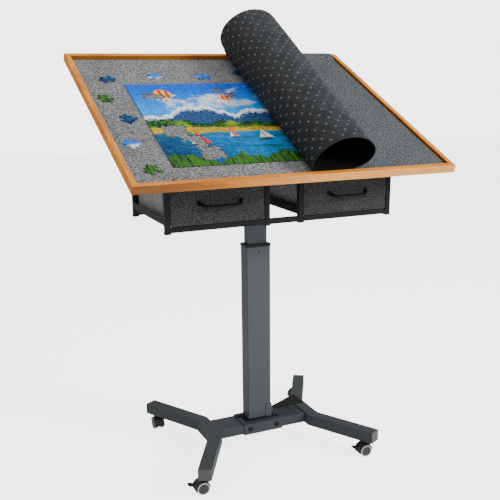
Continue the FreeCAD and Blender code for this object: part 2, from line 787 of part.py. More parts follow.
def make_lever(name, frame):
    """Brake lever: a curved tread on a hub between the hood's ears."""
    lever = new_body("brake_lever_" + name)
    hub = sketch_on(lever, "XZ_Plane")
    many_sided(hub, ("0", "0"), "lever_hub", HEAD_SIDES)
    pad(lever, hub, "lever_hub_length", both_ways=True)
    neck = sketch_on(lever, "XZ_Plane")
    outline(neck, [("-lever_neck", "0"), ("0", "-lever_thick / 2"), ("0", "lever_thick / 2"),
                   ("-lever_neck", "lever_thick")])
    pad(lever, neck, "lever_hub_length", both_ways=True)
    tread = sketch_on(lever, "XZ_Plane")
    outline(tread, [("-lever_length", "lever_curl - lever_thick"), ("-lever_root", "0"),
                    ("-lever_root", "lever_thick"), ("-lever_length", "lever_curl")])
    pad(lever, tread, "lever_width", both_ways=True)
    hole = sketch_on(lever, "XZ_Plane")
    circle(hole, ("0", "0"), "lever_pin + pin_gap")
    pocket(lever, hole, "2 * lever_width", both_ways=True)
    place(lever, ("lever_x", "0", "lever_z"), frame=frame + " * ")


def make_casters():
    stems = []
    for name, side, end, turn in CASTERS:
        frame = caster_frame(side, end, turn)
        braked = end == "-1"
        make_hood(name, frame, braked)
        make_wheels(name, frame)
        if braked:
            make_lever(name, frame)
        flange = prism("stem_flange", HEX_SIDES, "stem_flange_height",
                       ("0", "0", "caster_height - stem_flange_height"), "Z", frame + " * ")
        pin = prism("stem_radius", HEAD_SIDES, "stem_grip + stem_thread", ("0", "0", "stem_bottom"), "Z",
                    frame + " * ")
        stems.append(fuse([flange, pin]))
    part(group(stems), "caster_stems")


# ---- lift carriage ----

def make_lift():
    half = "inner_width / 2"
    part(square_tube(("inner_width", "inner_depth", "head_bottom - inner_bottom"),
                     ("-" + half, "column_mid_y - inner_depth / 2", "inner_bottom"), "inner_wall", "Z"),
         "inner_column")
    outer_x = "(column_width / 2 - column_wall - slide_gap)"
    outer_y = "(column_depth / 2 - column_wall - slide_gap)"
    ring = box(("2 * " + outer_x, "2 * " + outer_y, "bush_height"),
               ("-" + outer_x, "column_mid_y - " + outer_y, "inner_bottom"))
    core = box(("inner_width", "inner_depth", "bush_height"),
               ("-" + half, "column_mid_y - inner_depth / 2", "inner_bottom"))
    part(cut(ring, core), "slide_bush")

    spring = new_body("gas_spring_cylinder")
    profile = sketch_on(spring, "XZ_Plane")
    gland = "rod_radius + pin_gap"
    outline(profile, [(gland, "spring_bottom"), ("spring_radius", "spring_bottom"),
                      ("spring_radius", "head_bottom"), ("0", "head_bottom"),
                      ("0", "head_bottom - spring_end"), ("spring_bore", "head_bottom - spring_end"),
                      ("spring_bore", "spring_bottom + spring_end"), (gland, "spring_bottom + spring_end")])
    revolve(spring, profile, "Z_Axis")
    place(spring, ("0", "column_mid_y", "0"))

    part(square_tube(("inner_width", "unit_depth - 2 * tube", "tube"),
                     ("-" + half, "unit_front_y + tube", "head_bottom"), "tube_wall", "Y"), "head_beam")
    make_unit_frames()
    make_hinge()
    make_clamp()


def make_unit_frames():
    """Posts, rails and runners of the two drawer units."""
    posts = []
    feet = []
    side_rails = []
    runners = []
    for _, side in SIDES:
        for inner in (True, False):
            corner = "unit_inner_x" if inner else "unit_outer_x - tube"
            x = "(%s) * %s - tube * (1 - %s) / 2" % (corner, side, side)
            for y in ("unit_front_y", "unit_back_y - tube"):
                post = square_tube(("tube", "tube", "unit_height"), (x, y, "unit_bottom"), "tube_wall", "Z")
                posts.append(post)
                feet.append(box(("tube + 2 * post_foot_lip", "tube + 2 * post_foot_lip", "post_foot_height"),
                                ("%s - post_foot_lip" % x, "%s - post_foot_lip" % y,
                                 "unit_bottom - post_foot_height")))
            side_rails.append(square_tube(("tube", "unit_depth - 2 * tube", "tube"),
                                          (x, "unit_front_y + tube", "head_bottom"), "tube_wall", "Y"))
            runners.append(make_runner(side, inner))
    part(group(posts), "unit_posts")
    part(group(feet), "post_feet")
    part(group(side_rails), "unit_side_rails")
    part(group(runners), "drawer_runners")
    make_cross_rails()


def make_runner(side, inner):
    """An angle runner: its web is flush with the posts, its flange under the drawer."""
    web_x = "unit_inner_x" if inner else "unit_outer_x - runner_thick"
    flange_x = "unit_inner_x" if inner else "unit_outer_x - runner_width"
    start = "unit_front_y + tube"
    length = "unit_depth - 2 * tube"
    mirror = "* %s - %s * (1 - %s) / 2"
    web = box(("runner_thick", length, "runner_height"),
              (("(%s) " + mirror) % (web_x, side, "runner_thick", side), start, "runner_z"))
    flange = box(("runner_width", length, "runner_thick"),
                 (("(%s) " + mirror) % (flange_x, side, "runner_width", side), start, "runner_z"))
    return fuse([web, flange])


def make_cross_rails():
    """Rails along x, between the posts and across the middle gap, front and back."""
    spans = [("-unit_inner_x", "unit_gap")]
    for _, side in SIDES:
        length = "(unit_width - 2 * tube)"
        spans.append(("unit_mid_x * %s - %s / 2" % (side, length), length))
    rails = []
    for y in ("unit_front_y", "unit_back_y - tube"):
        for z in ("unit_bottom", "head_bottom"):
            for x, length in spans:
                rails.append(square_tube((length, "tube", "tube"), (x, y, z), "tube_wall", "X"))
    part(group(rails), "unit_cross_rails")


def make_hinge():
    """Brackets, pins, rest posts and rubber pads that carry the board."""
    brackets = []
    pins = []
    rests = []
    pads = []
    for _, side in SIDES:
        x = "%s * bearer_offset" % side
        half = "(bearer_width / 2 + slide_gap)"
        base = box(("2 * (%s + ear_thick)" % half, "tube", "ear_thick"),
                   ("%s - %s - ear_thick" % (x, half), "unit_front_y", "unit_top"))
        pieces = [base]
        for start in ("-%s - ear_thick" % half, half):
            ear_x = "%s + %s" % (x, start)
            pieces.append(box(("ear_thick", "2 * ear_round", "pivot_z - unit_top"),
                              (ear_x, "pivot_y - ear_round", "unit_top")))
            pieces.append(prism("ear_round", HEAD_SIDES, "ear_thick", (ear_x, "pivot_y", "pivot_z"), "X"))
        hole = cylinder("pivot_radius", "2 * (%s + ear_thick)" % half,
                        ("%s - %s - ear_thick" % (x, half), "pivot_y", "pivot_z"), "X")
        brackets.append(cut(fuse(pieces), hole))
        pin_half = "(%s + 2 * ear_thick)" % half
        pins.append(prism("pivot_radius", HEAD_SIDES, "2 * " + pin_half,
                          ("%s - %s" % (x, pin_half), "pivot_y", "pivot_z"), "X"))
        post_z = "pad_top - rest_pad_thick"
        rest_at = ("%s - bearer_width / 2" % x, "unit_back_y - rest_post_depth")
        rests.append(box(("bearer_width", "rest_post_depth", "%s - unit_top" % post_z),
                         rest_at + ("unit_top",)))
        pads.append(box(("bearer_width", "rest_post_depth", "rest_pad_thick"), rest_at + (post_z,)))
    part(group(brackets), "hinge_brackets")
    part(group(pins), "hinge_pins")
    part(group(rests), "rest_posts")
    part(group(pads), "rest_pads")


def make_clamp():
    """Cheeks on the head beam, the clamp bolt through them and its star knob."""
    cheeks = []
    for _, side in SIDES:
        x = "%s * (cheek_x + cheek_thick / 2) - cheek_thick / 2" % side
        plate = box(("cheek_thick", "cheek_depth", "cheek_height"),
                    (x, "clamp_y - cheek_depth / 2", "head_bottom"))
        hole = cylinder("clamp_radius", "cheek_thick", (x, "clamp_y", "clamp_z"), "X")
        cheeks.append(cut(plate, hole))
    part(group(cheeks), "clamp_cheeks")

    bolt_start = "-quadrant_outer_x - slide_gap"
    shank = cylinder("clamp_radius", "quadrant_outer_x + slide_gap + knob_x + knob_bore",
                     (bolt_start, "clamp_y", "clamp_z"), "X")
    head = prism("clamp_head", HEX_SIDES, "clamp_head_height",
                 ("%s - clamp_head_height" % bolt_start, "clamp_y", "clamp_z"), "X")
    part(fuse([shank, head]), "clamp_bolt")

    knob = new_body("tilt_knob")
    star = sketch_on(knob, "YZ_Plane")
    circle(star, ("0", "0"), "knob_radius")
    pad(knob, star, "knob_length")
    scallop = sketch_on(knob, "YZ_Plane")
    circle(scallop, ("0", "knob_radius + knob_lobe_out"), "knob_lobe_radius")
    notch = pocket(knob, scallop, "knob_length", reverse=True)
    ring = knob.newObject("PartDesign::PolarPattern", "scallops")
    ring.Originals = [notch]
    turning = [item for item in knob.Origin.OriginFeatures if item.Role == "X_Axis"][0]
    ring.Axis = (turning, [""])
    ring.Angle = 360
    ring.setExpression("Occurrences", bound("knob_lobes"))
    knob.Tip = ring
    doc.recompute()
    bore = sketch_on(knob, "YZ_Plane")
    circle(bore, ("0", "0"), "clamp_radius + pin_gap")
    pocket(knob, bore, "knob_bore + slide_gap", reverse=True)
    place(knob, ("knob_x", "clamp_y", "clamp_z"))


# ---- drawers ----

def make_drawer(name, side):
    """A felt-covered box drawer with a stiff front, a base insert and a bow handle."""
    middle = "%s * unit_mid_x" % side
    wall = "drawer_wall"
    shell = new_body("drawer_bin_" + name)
    base = sketch_on(shell, "XY_Plane", "bin_bottom")
    rectangle(base, "%s - bin_half" % middle, "bin_y", "%s + bin_half" % middle, "bin_y + bin_depth")
    pad(shell, base, "bin_top - bin_bottom")
    round_edges(shell, "bin_round", lambda edge: runs_along(edge, Z_AXIS))
    room = sketch_on(shell, "XY_Plane", "bin_bottom + drawer_bottom")
    rectangle(room, "%s - bin_half + %s" % (middle, wall), "bin_y + " + wall,
              "%s + bin_half - %s" % (middle, wall), "bin_y + bin_depth - " + wall)
    pocket(shell, room, "bin_top - bin_bottom", reverse=True)

    part(box(("2 * (bin_half - %s) - 2 * soft_gap" % wall, "bin_depth - 2 * (%s + soft_gap)" % wall,
              "drawer_insert"),
             ("%s - bin_half + %s + soft_gap" % (middle, wall), "bin_y + %s + soft_gap" % wall,
              "bin_bottom + drawer_bottom")), "drawer_insert_" + name)

    front = new_body("drawer_front_" + name)
    face = sketch_on(front, "XZ_Plane", "-drawer_y")
    rectangle(face, "%s - bin_half" % middle, "bin_bottom - drawer_front_drop",
              "%s + bin_half" % middle, "bin_top")
    pad(front, face, "drawer_front_thick", reverse=True)
    round_edges(front, "front_round",
                lambda edge: abs(edge.CenterOfMass.y - value("drawer_y")) < 1e-6)
    make_handle(name, middle)


def make_handle(name, middle):
    """A bow handle: it leans down and out from two plates on the drawer front."""
    bow = doc.addObject("PartDesign::Body", "bow")
    plan = sketch_on(bow, "XY_Plane")
    half = "handle_width / 2"
    left = [("-" + half, "-handle_root"), ("-%s + handle_flare" % half, "-handle_reach")]
    left_inner = [("-%s + handle_flare + handle_thick / 2" % half, "-handle_reach + handle_thick"),
                  ("-%s + handle_thick" % half, "-handle_root")]
    mirrored = [(x.replace("-" + half, half).replace(" + ", " - "), y) for x, y in reversed(left)]
    mirrored_inner = [(x.replace("-" + half, half).replace(" + ", " - "), y) for x, y in reversed(left_inner)]
    outline(plan, left + mirrored + mirrored_inner + left_inner)
    pad(bow, plan, "handle_thick", both_ways=True)
    round_edges(bow, "handle_bend", lambda edge: runs_along(edge, Z_AXIS)
                and edge.CenterOfMass.y < -value("handle_reach / 2"))
    frame = placement((middle, "drawer_y", "handle_z"), ("1", "0", "0"), "handle_droop")
    bow.setExpression("Placement", frame)
    plates = []
    for sign in ("-", "+"):
        centre = "%s %s (%s - handle_thick / 2)" % (middle, sign, half)
        plates.append(box(("2 * handle_foot", "handle_plate", "2 * handle_foot"),
                          (centre + " - handle_foot", "drawer_y - handle_plate", "handle_z - handle_foot")))
    part(fuse([bow] + plates), "drawer_handle_" + name)


# ---- tilting board ----

def make_rail(name, length, at, turn):
    """A mitred frame rail with a rebate under its inner edge for the panel."""
    half = "(%s) / 2" % length
    rail = new_body(name)
    plan = sketch_on(rail, "XY_Plane", "-rail_height")
    outline(plan, [("-" + half, "0"), (half, "0"), (half + " - rail_width", "rail_width"),
                   ("-%s + rail_width" % half, "rail_width")])
    pad(rail, plan, "rail_height")
    step = sketch_on(rail, "XY_Plane", "-rail_height")
    edge = "rail_width - rebate"
    outline(step, [("-%s + %s" % (half, edge), edge), ("%s - %s" % (half, "(%s)" % edge), edge),
                   (half + " - rail_width", "rail_width"), ("-%s + rail_width" % half, "rail_width")])
    pocket(rail, step, "panel_thick", reverse=True)
    round_edges(rail, "rail_round", lambda edge: runs_along(edge, X_AXIS)
                and abs(edge.CenterOfMass.z) < 1e-6)
    place(rail, at, ("0", "0", "1"), turn, ON_BOARD)


def make_board():
    inner_width = "board_width - 2 * rail_width"
    inner_depth = "board_depth - 2 * rail_width"
    panel = box(("%s + 2 * rebate" % inner_width, "%s + 2 * rebate" % inner_depth, "panel_thick"),
                ("-inside_half - rebate", "rail_width - rebate", "panel_z"), ON_BOARD)
    part(panel, "board_panel")
    part(box((inner_width, inner_depth, "felt_thick"), ("-inside_half", "rail_width", "felt_z - felt_thick"),
             ON_BOARD), "board_felt")
    make_rail("front_rail", "board_width", ("0", "0", "0"), "0")
    make_rail("back_rail", "board_width", ("0", "board_depth", "0"), "180")
    make_rail("left_rail", "board_depth", ("-board_width / 2", "board_depth / 2", "0"), "-90")
    make_rail("right_rail", "board_depth", ("board_width / 2", "board_depth / 2", "0"), "90")
    make_bearers()
    make_quadrants()


def make_bearers():
    """Two box-section bearers, bored for the hinge pins."""
    bearers = []
    for _, side in SIDES:
        x = "%s * bearer_offset - bearer_width / 2" % side
        tube = square_tube(("bearer_width", "bearer_end - bearer_start", "bearer_height"),
                           (x, "bearer_start", "-rail_height - bearer_height"), "bearer_wall", "Y", ON_BOARD)
        bore = cylinder("pivot_radius + pin_gap", "bearer_width",
                        (x, "pivot_run", "-rail_height - pivot_drop"), "X", ON_BOARD)
        bearers.append(cut(tube, bore))
    part(group(bearers), "board_bearers")


def make_quadrants():
    """Slotted plates: each slot is an arc about the hinge, as long as the tilt."""
    middle_y = value("pivot_run")
    middle_z = value("-rail_height - pivot_drop")
    drop = value("pivot_drop")
    radius = value("quadrant_radius")
    half = value("quadrant_width") / 2
    clamp_angle = math.asin((value("clamp_z") - value("pivot_z")) / radius)
    low = clamp_angle - math.radians(value("tilt"))
    high = clamp_angle
    tail = math.radians(value("quadrant_tail"))
    slot_half = value("clamp_radius") + value("bolt_gap")

    def polar(distance, angle):
        return FreeCAD.Vector(0, middle_y + distance * math.cos(angle), middle_z + distance * math.sin(angle))

    def arc(distance, start, end):
        points = [polar(distance, angle) for angle in (start, (start + end) / 2, end)]
        return Part.Arc(*points).toShape()

    outer_top = math.asin(drop / (radius + half))
    inner_top = math.asin(drop / (radius - half))
    plate_edges = [arc(radius + half, low - tail, outer_top),
                   Part.makeLine(polar(radius + half, outer_top), polar(radius - half, inner_top)),
                   arc(radius - half, inner_top, low - tail),
                   Part.makeLine(polar(radius - half, low - tail), polar(radius + half, low - tail))]
    slot_edges = [arc(radius + slot_half, low, high),
                  Part.Arc(polar(radius + slot_half, high), polar(radius, high) + slot_end(high, slot_half),
                           polar(radius - slot_half, high)).toShape(),
                  arc(radius - slot_half, high, low),
                  Part.Arc(polar(radius - slot_half, low), polar(radius, low) - slot_end(low, slot_half),
                           polar(radius + slot_half, low)).toShape()]
    thick = value("quadrant_thick")
    flange_width = value("quadrant_flange")
    plates = []
    for side in (-1, 1):
        start = FreeCAD.Vector(value("quadrant_x") if side > 0 else -value("quadrant_outer_x"), 0, 0)
        run = FreeCAD.Vector(thick, 0, 0)
        plate = Part.Face(Part.Wire(plate_edges)).extrude(run)
        slot = Part.Face(Part.Wire(slot_edges)).extrude(run)
        corner = FreeCAD.Vector(0 if side > 0 else thick - flange_width,
                                middle_y + (radius - half) * math.cos(inner_top), middle_z + drop - thick)
        depth = (radius + half) * math.cos(outer_top) - (radius - half) * math.cos(inner_top)
        flange = Part.makeBox(flange_width, depth, thick, corner)
        solid = plate.fuse(flange).cut(slot)
        solid.translate(start)
        plates.append(solid.removeSplitter())
    quadrants = doc.addObject("Part::Feature", "quadrants")
    quadrants.Shape = Part.makeCompound(plates)
    quadrants.Placement = board_placement()
    part(quadrants, "tilt_quadrants")


def slot_end(angle, reach):
    """A step along an arc's direction, for the round end of a slot."""
    return FreeCAD.Vector(0, -math.sin(angle) * reach, math.cos(angle) * reach)


def board_placement():
    origin = FreeCAD.Vector(0, value("board_front_y"), value("board_front_z"))
    return FreeCAD.Placement(origin, FreeCAD.Rotation(X_AXIS, value("tilt")))


# ---- puzzle and cover mat ----

# The middle of each loose piece on the board, its turn, and a knob (1) or a
# socket (-1) on its right, back, left and front side.
LOOSE_PIECES = (("74 - inside_half", "inside_back - 138", 12, (1, -1, 1, -1)),
                ("puzzle_left + 102", "inside_back - 123", -18, (1, 1, -1, -1)),
                ("puzzle_left + 251", "inside_back - 126", 8, (1, -1, 1, -1)),
                ("puzzle_left + 380", "inside_back - 105", 0, (-1, 1, 1, -1)),
                ("40 - inside_half", "puzzle_front + 372", 30, (-1, 1, -1, 1)),
                ("68 - inside_half", "puzzle_front + 253", 5, (1, 1, -1, 1)),
                ("45 - inside_half", "puzzle_front + 124", -12, (1, -1, 1, 1)),
                ("60 - inside_half", "puzzle_front - 4", 20, (-1, 1, 1, -1)))
# Points along each edge of the mat's roll.
ROLL_STEPS = 32


def make_puzzle():
    part(box(("puzzle_width", "puzzle_height", "puzzle_thick"), ("puzzle_left", "puzzle_front", "felt_z"),
             ON_BOARD), "jigsaw_puzzle")
    part(group([loose_piece(*entry) for entry in LOOSE_PIECES]), "loose_pieces")


def loose_piece(x, y, turn, sides):
    frame = ON_BOARD + placement((x, y, "felt_z"), ("0", "0", "1"), str(turn)) + " * "
    solid = box(("piece_size", "piece_size", "puzzle_thick"),
                ("-piece_size / 2", "-piece_size / 2", "0"), frame)
    knobs = []
    sockets = []
    for index, kind in enumerate(sides):
        reach = "piece_size / 2 %s piece_knob_out" % ("+" if kind > 0 else "-")
        across = ("1", "0", "-1", "0")[index]
        along = ("0", "1", "0", "-1")[index]
        at = ("%s * (%s)" % (across, reach), "%s * (%s)" % (along, reach), "0")
        knob = prism("piece_knob", LOBE_SIDES, "puzzle_thick", at, "Z", frame)
        (knobs if kind > 0 else sockets).append(knob)
    return cut(fuse([solid] + knobs), fuse(sockets) if len(sockets) > 1 else sockets[0])


def make_mat():
    """A rubber-backed felt cover: flat on the right of the board, rolled on the left."""
    thick = value("mat_thick")
    low = value("mat_z")
    right = value("inside_half - mat_edge_gap")
    centre = value("roll_centre")
    half_width = value("roll_half_width")
    turns = 1 + value("roll_lap")
    pitch = value("roll_pitch")

    def spiral(run, height, inset):
        """Points along one face of the rolled part, at one distance up the slope."""
        points = []
        for step in range(ROLL_STEPS + 1):
            turned = turns * step / ROLL_STEPS
            angle = -math.pi / 2 - 2 * math.pi * turned
            shrink = inset + pitch * turned
            points.append(FreeCAD.Vector(centre + (half_width - shrink) * math.cos(angle), run,
                                         low + height / 2 + (height / 2 - shrink) * math.sin(angle)))
        return points

    def section(run, height):
        """The mat's outline there: its underside outwards and its felt face back."""
        return ([FreeCAD.Vector(right, run, low)] + spiral(run, height, 0.0)
                + spiral(run, height, thick)[::-1] + [FreeCAD.Vector(right, run, low + thick)])

    front = section(value("mat_front"), value("roll_front_height"))
    back = section(value("mat_back"), value("roll_back_height"))
    faces = [polygon_face(front), polygon_face(back)]
    for index in range(len(front)):
        following = (index + 1) % len(front)
        faces.append(polygon_face([front[index], front[following], back[index]]))
        faces.append(polygon_face([front[following], back[following], back[index]]))
    mat = doc.addObject("Part::Feature", "mat")
    mat.Shape = Part.Solid(Part.Shell(faces))
    mat.Placement = board_placement()
    part(mat, "cover_mat")


def polygon_face(points):
    return Part.Face(Part.makePolygon(points + points[:1]))


def check(objects):
    doc.recompute()
    for obj in doc.Objects:
        if "Invalid" in obj.State or "Error" in obj.State:
            raise RuntimeError("%s (%s): %s" % (obj.Label, obj.Name, obj.State))
    for obj in objects:
        if obj.Shape.isNull() or not obj.Shape.isValid() or not obj.Shape.Solids:
            raise RuntimeError("%s has no valid shape" % obj.Label)


def write(objects):
    os.makedirs("parts", exist_ok=True)
    for obj in objects:
        obj.Shape.exportStep(os.path.join("parts", obj.Label + ".step"))
        print("%-28s %2d solids %10.0f mm3" % (obj.Label, len(obj.Shape.Solids), obj.Shape.Volume))


fill_sheets()
make_base()
make_casters()
make_lift()
for drawer_name, drawer_side in SIDES:
    make_drawer(drawer_name, drawer_side)
make_board()
make_puzzle()
make_mat()
check(parts)
write(parts)
print("%d sub-parts" % len(parts))
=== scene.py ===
import bisect
import math
import random

import bpy
from mathutils import Matrix, Vector, noise


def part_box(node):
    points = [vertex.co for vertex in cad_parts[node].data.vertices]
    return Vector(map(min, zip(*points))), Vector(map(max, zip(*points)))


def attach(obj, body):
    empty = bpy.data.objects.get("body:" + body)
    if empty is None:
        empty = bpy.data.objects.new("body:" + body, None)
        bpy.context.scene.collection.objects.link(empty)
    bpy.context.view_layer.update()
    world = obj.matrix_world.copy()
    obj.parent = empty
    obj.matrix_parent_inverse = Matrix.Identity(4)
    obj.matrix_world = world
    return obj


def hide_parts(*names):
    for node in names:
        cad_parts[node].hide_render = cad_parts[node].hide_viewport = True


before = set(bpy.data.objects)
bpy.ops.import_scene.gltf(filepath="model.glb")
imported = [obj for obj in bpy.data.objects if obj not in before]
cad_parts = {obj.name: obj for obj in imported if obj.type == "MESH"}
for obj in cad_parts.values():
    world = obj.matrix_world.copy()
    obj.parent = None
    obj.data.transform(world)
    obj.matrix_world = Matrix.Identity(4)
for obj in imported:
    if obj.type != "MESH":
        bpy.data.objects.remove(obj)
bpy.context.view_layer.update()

MM = 0.001
# Points closer than this count as touching.
TOUCHING = 0.01 * MM

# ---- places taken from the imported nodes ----

SLEEVE_LOW, SLEEVE_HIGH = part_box("base_sleeve")
BASE_Y = (SLEEVE_LOW.y + SLEEVE_HIGH.y) / 2
TILT = math.radians(24.35)
BOARD_OVERHANG = 320 * MM
BOARD_FRONT_Z = 865 * MM
# The board's frame: x to the right, y up the slope, z out of the felt.
BOARD = Matrix.Translation((0, BASE_Y - BOARD_OVERHANG, BOARD_FRONT_Z)) @ Matrix.Rotation(TILT, 4, "X")
FELT_Z = -12 * MM
INSIDE_X = 434 * MM
INSIDE_FRONT = 16 * MM
INSIDE_BACK = 716 * MM


# ---- building meshes ----

def smooth_step(low, high, value):
    share = min(max((value - low) / (high - low), 0.0), 1.0)
    return share * share * (3 - 2 * share)


def mix(a, b, share):
    return a + (b - a) * share


class Form:
    """The points and faces of one piece while it is being built."""

    def __init__(self):
        self.points = []
        self.faces = []
        self.finishes = []
        self.uvs = []

    def add(self, points, faces, finish=0, uvs=None):
        start = len(self.points)
        self.points += [Vector(point) for point in points]
        self.uvs += uvs or [(0.0, 0.0)] * len(points)
        self.faces += [[start + index for index in face] for face in faces]
        self.finishes += [finish] * len(faces)

    def sheet(self, rows, finish=0, loop=False, ring=False, uvs=None, flip=False):
        """Join rows of points by quads; loop closes each row, ring joins the last row to the first."""
        width = len(rows[0])
        count = len(rows)
        faces = []
        for i in range(count if ring else count - 1):
            for j in range(width if loop else width - 1):
                a = i * width + j
                b = i * width + (j + 1) % width
                c = (i + 1) % count * width + (j + 1) % width
                d = (i + 1) % count * width + j
                faces.append((a, d, c, b) if flip else (a, b, c, d))
        self.add([point for row in rows for point in row], faces, finish,
                 uvs and [uv for row in uvs for uv in row])

    def turned(self, profile, place, steps=48, finish=0):
        """A shape turned about the z axis of a place, from (radius, height) pairs."""
        rows = [hoop(place, radius, height, steps) for radius, height in profile]
        self.sheet(rows, finish, loop=True)
        if profile[-1][0] > 0:
            self.add(rows[-1], [tuple(range(steps))], finish)
        if profile[0][0] > 0:
            self.add(rows[0], [tuple(reversed(range(steps)))], finish)

    def swept(self, path, section, finish=0, upright=(0, 0, 1), closed=False):
        """A section carried along a path; its first axis points sideways and its second along upright."""
        rows = []
        count = len(path)
        for index, point in enumerate(path):
            before = path[(index - 1) % count] if closed else path[max(index - 1, 0)]
            after = path[(index + 1) % count] if closed else path[min(index + 1, count - 1)]
            ahead = (Vector(after) - Vector(before)).normalized()
            side = ahead.cross(Vector(upright)).normalized()
            over = side.cross(ahead)
            rows.append([Vector(point) + side * a + over * b for a, b in section])
        self.sheet(rows, finish, loop=True, ring=closed)
        if not closed:
            self.add(rows[0], [tuple(range(len(section)))], finish)
            self.add(rows[-1], [tuple(reversed(range(len(section))))], finish)

    def block(self, low, high, radius, steps=3):
        """A box with rounded edges, as a stack of rounded outlines along z."""
        mid = (Vector(low) + Vector(high)) / 2
        half = (Vector(high) - Vector(low)) / 2
        rows = []
        for end in (-1, 1):
            for k in range(steps + 1):
                angle = math.pi / 2 * (k if end > 0 else steps - k) / steps
                inset = radius * (1 - math.cos(angle))
                rise = end * (half.z - radius + radius * math.sin(angle))
                corner = max(radius - inset, TOUCHING)
                outline = rounded_outline(half.x - inset, half.y - inset, corner, steps)
                rows.append([mid + Vector((x, y, rise)) for x, y in outline])
        self.sheet(rows, loop=True)
        self.caps(rows)

    def caps(self, rows, finish=0):
        """Close both ends of a stack of rows."""
        around = tuple(range(len(rows[0])))
        self.add(rows[-1], [around], finish)
        self.add(rows[0], [around[::-1]], finish)


def circle(radius, steps=8):
    """Points on a circle, as (x, y) pairs."""
    return [(radius * math.cos(2 * math.pi * k / steps), radius * math.sin(2 * math.pi * k / steps))
            for k in range(steps)]


def hoop(place, radius, height, steps):
    """Points all round the z axis of a place."""
    return [place @ Vector((x, y, height)) for x, y in circle(radius, steps)]


def rounded_outline(half_x, half_y, radius, steps):
    """Corner points of a rounded rectangle, going round from the right side."""
    points = []
    for corner, (sx, sy) in enumerate(((1, 1), (-1, 1), (-1, -1), (1, -1))):
        for k in range(steps + 1):
            angle = math.pi / 2 * (corner + k / steps)
            points.append((sx * (half_x - radius) + radius * math.cos(angle),
                           sy * (half_y - radius) + radius * math.sin(angle)))
    return points


def bent_path(points, radius, steps=6):
    """A run of straight lines with its corners rounded off."""
    path = [Vector(points[0])]
    for before, corner, after in zip(points, points[1:], points[2:]):
        before, corner, after = Vector(before), Vector(corner), Vector(after)
        start = corner + (before - corner).normalized() * radius
        end = corner + (after - corner).normalized() * radius
        for k in range(steps + 1):
            share = k / steps
            path.append(start.lerp(corner, share).lerp(corner.lerp(end, share), share))
    path.append(Vector(points[-1]))
    return path


def make(name, form, body, finishes, replaces=(), crease=35):
    """Turn a form into a piece that rides on a body."""
    mesh = bpy.data.meshes.new(name)
    mesh.from_pydata(form.points, [], form.faces)
    layer = mesh.uv_layers.new(name="flat")
    for loop in mesh.loops:
        layer.data[loop.index].uv = form.uvs[loop.vertex_index]
    for finish in finishes:
        mesh.materials.append(finish)
    mesh.polygons.foreach_set("material_index", form.finishes)
    mesh.polygons.foreach_set("use_smooth", [True] * len(form.faces))
    mesh.update()
    mesh.set_sharp_from_angle(angle=math.radians(crease))
    piece = bpy.data.objects.new(name, mesh)
    bpy.context.scene.collection.objects.link(piece)
    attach(piece, body)
    if replaces:
        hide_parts(*replaces)
    return piece


# ---- shader fields ----

class Field:
    """An output socket that can be added, multiplied and masked like a number."""

    def __init__(self, socket):
        self.socket = socket
        self.tree = socket.id_data

    def math(self, operation, *others):
        node = self.tree.nodes.new("ShaderNodeMath")
        node.operation = operation
        for slot, item in zip(node.inputs, (self,) + others):
            feed(slot, item)
        return Field(node.outputs[0])

    def __add__(self, other):
        if isinstance(other, Field) and other.socket.type == "VECTOR":
            node = self.tree.nodes.new("ShaderNodeVectorMath")
            feed(node.inputs[0], self)
            feed(node.inputs[1], other)
            return Field(node.outputs[0])
        return self.math("ADD", other)

    def __sub__(self, other):
        return self.math("SUBTRACT", other)

    def __mul__(self, other):
        return self.math("MULTIPLY", other)

    __radd__ = __add__

    def __rsub__(self, other):
        return self * -1.0 + other

    def mask(self, low, high, start=0.0, end=1.0):
        """A soft step from start to end as the field goes from low to high."""
        node = self.tree.nodes.new("ShaderNodeMapRange")
        node.interpolation_type = "SMOOTHSTEP"
        feed(node.inputs["Value"], self)
        for name, item in (("From Min", low), ("From Max", high), ("To Min", start), ("To Max", end)):
            feed(node.inputs[name], item)
        return Field(node.outputs[0])

    def blend(self, first, second):
        """A colour from first, where the field is 0, to second, where it is 1."""
        node = self.tree.nodes.new("ShaderNodeMix")
        node.data_type = "RGBA"
        feed(node.inputs[0], self)
        feed(node.inputs[6], first)
        feed(node.inputs[7], second)
        return Field(node.outputs[2])

    def parts(self):
        node = self.tree.nodes.new("ShaderNodeSeparateXYZ")
        feed(node.inputs[0], self)
        return [Field(output) for output in node.outputs]


def feed(slot, item):
    if isinstance(item, Field):
        slot.id_data.links.new(item.socket, slot)
    elif isinstance(item, tuple) and len(item) == 3 and slot.type == "RGBA":
        slot.default_value = item + (1.0,)
    else:
        slot.default_value = item


def vector(tree, x, y):
    node = tree.nodes.new("ShaderNodeCombineXYZ")
    for slot, item in zip(node.inputs, (x, y)):
        feed(slot, item)
    return Field(node.outputs[0])


def clouds(place, scale, detail=2.0, rough=0.5, distort=0.0):
    """Noise from 0 to 1; the scale is in cells to a metre."""
    node = place.tree.nodes.new("ShaderNodeTexNoise")
    feed(node.inputs["Vector"], place)
    feed(node.inputs["Scale"], scale)
    feed(node.inputs["Detail"], detail)
    feed(node.inputs["Roughness"], rough)
    feed(node.inputs["Distortion"], distort)
    return Field(node.outputs["Fac"])


def cells(place, scale):
    """Distance to the nearest of many scattered points; the scale is in cells to a metre."""
    node = place.tree.nodes.new("ShaderNodeTexVoronoi")
    feed(node.inputs["Vector"], place)
    feed(node.inputs["Scale"], scale)
    return Field(node.outputs["Distance"])


def mapped(place, scale=(1, 1, 1), turn=(0, 0, 0), move=(0, 0, 0)):
    node = place.tree.nodes.new("ShaderNodeMapping")
    feed(node.inputs["Vector"], place)
    node.inputs["Location"].default_value = move
    node.inputs["Rotation"].default_value = turn
    node.inputs["Scale"].default_value = scale
    return Field(node.outputs[0])


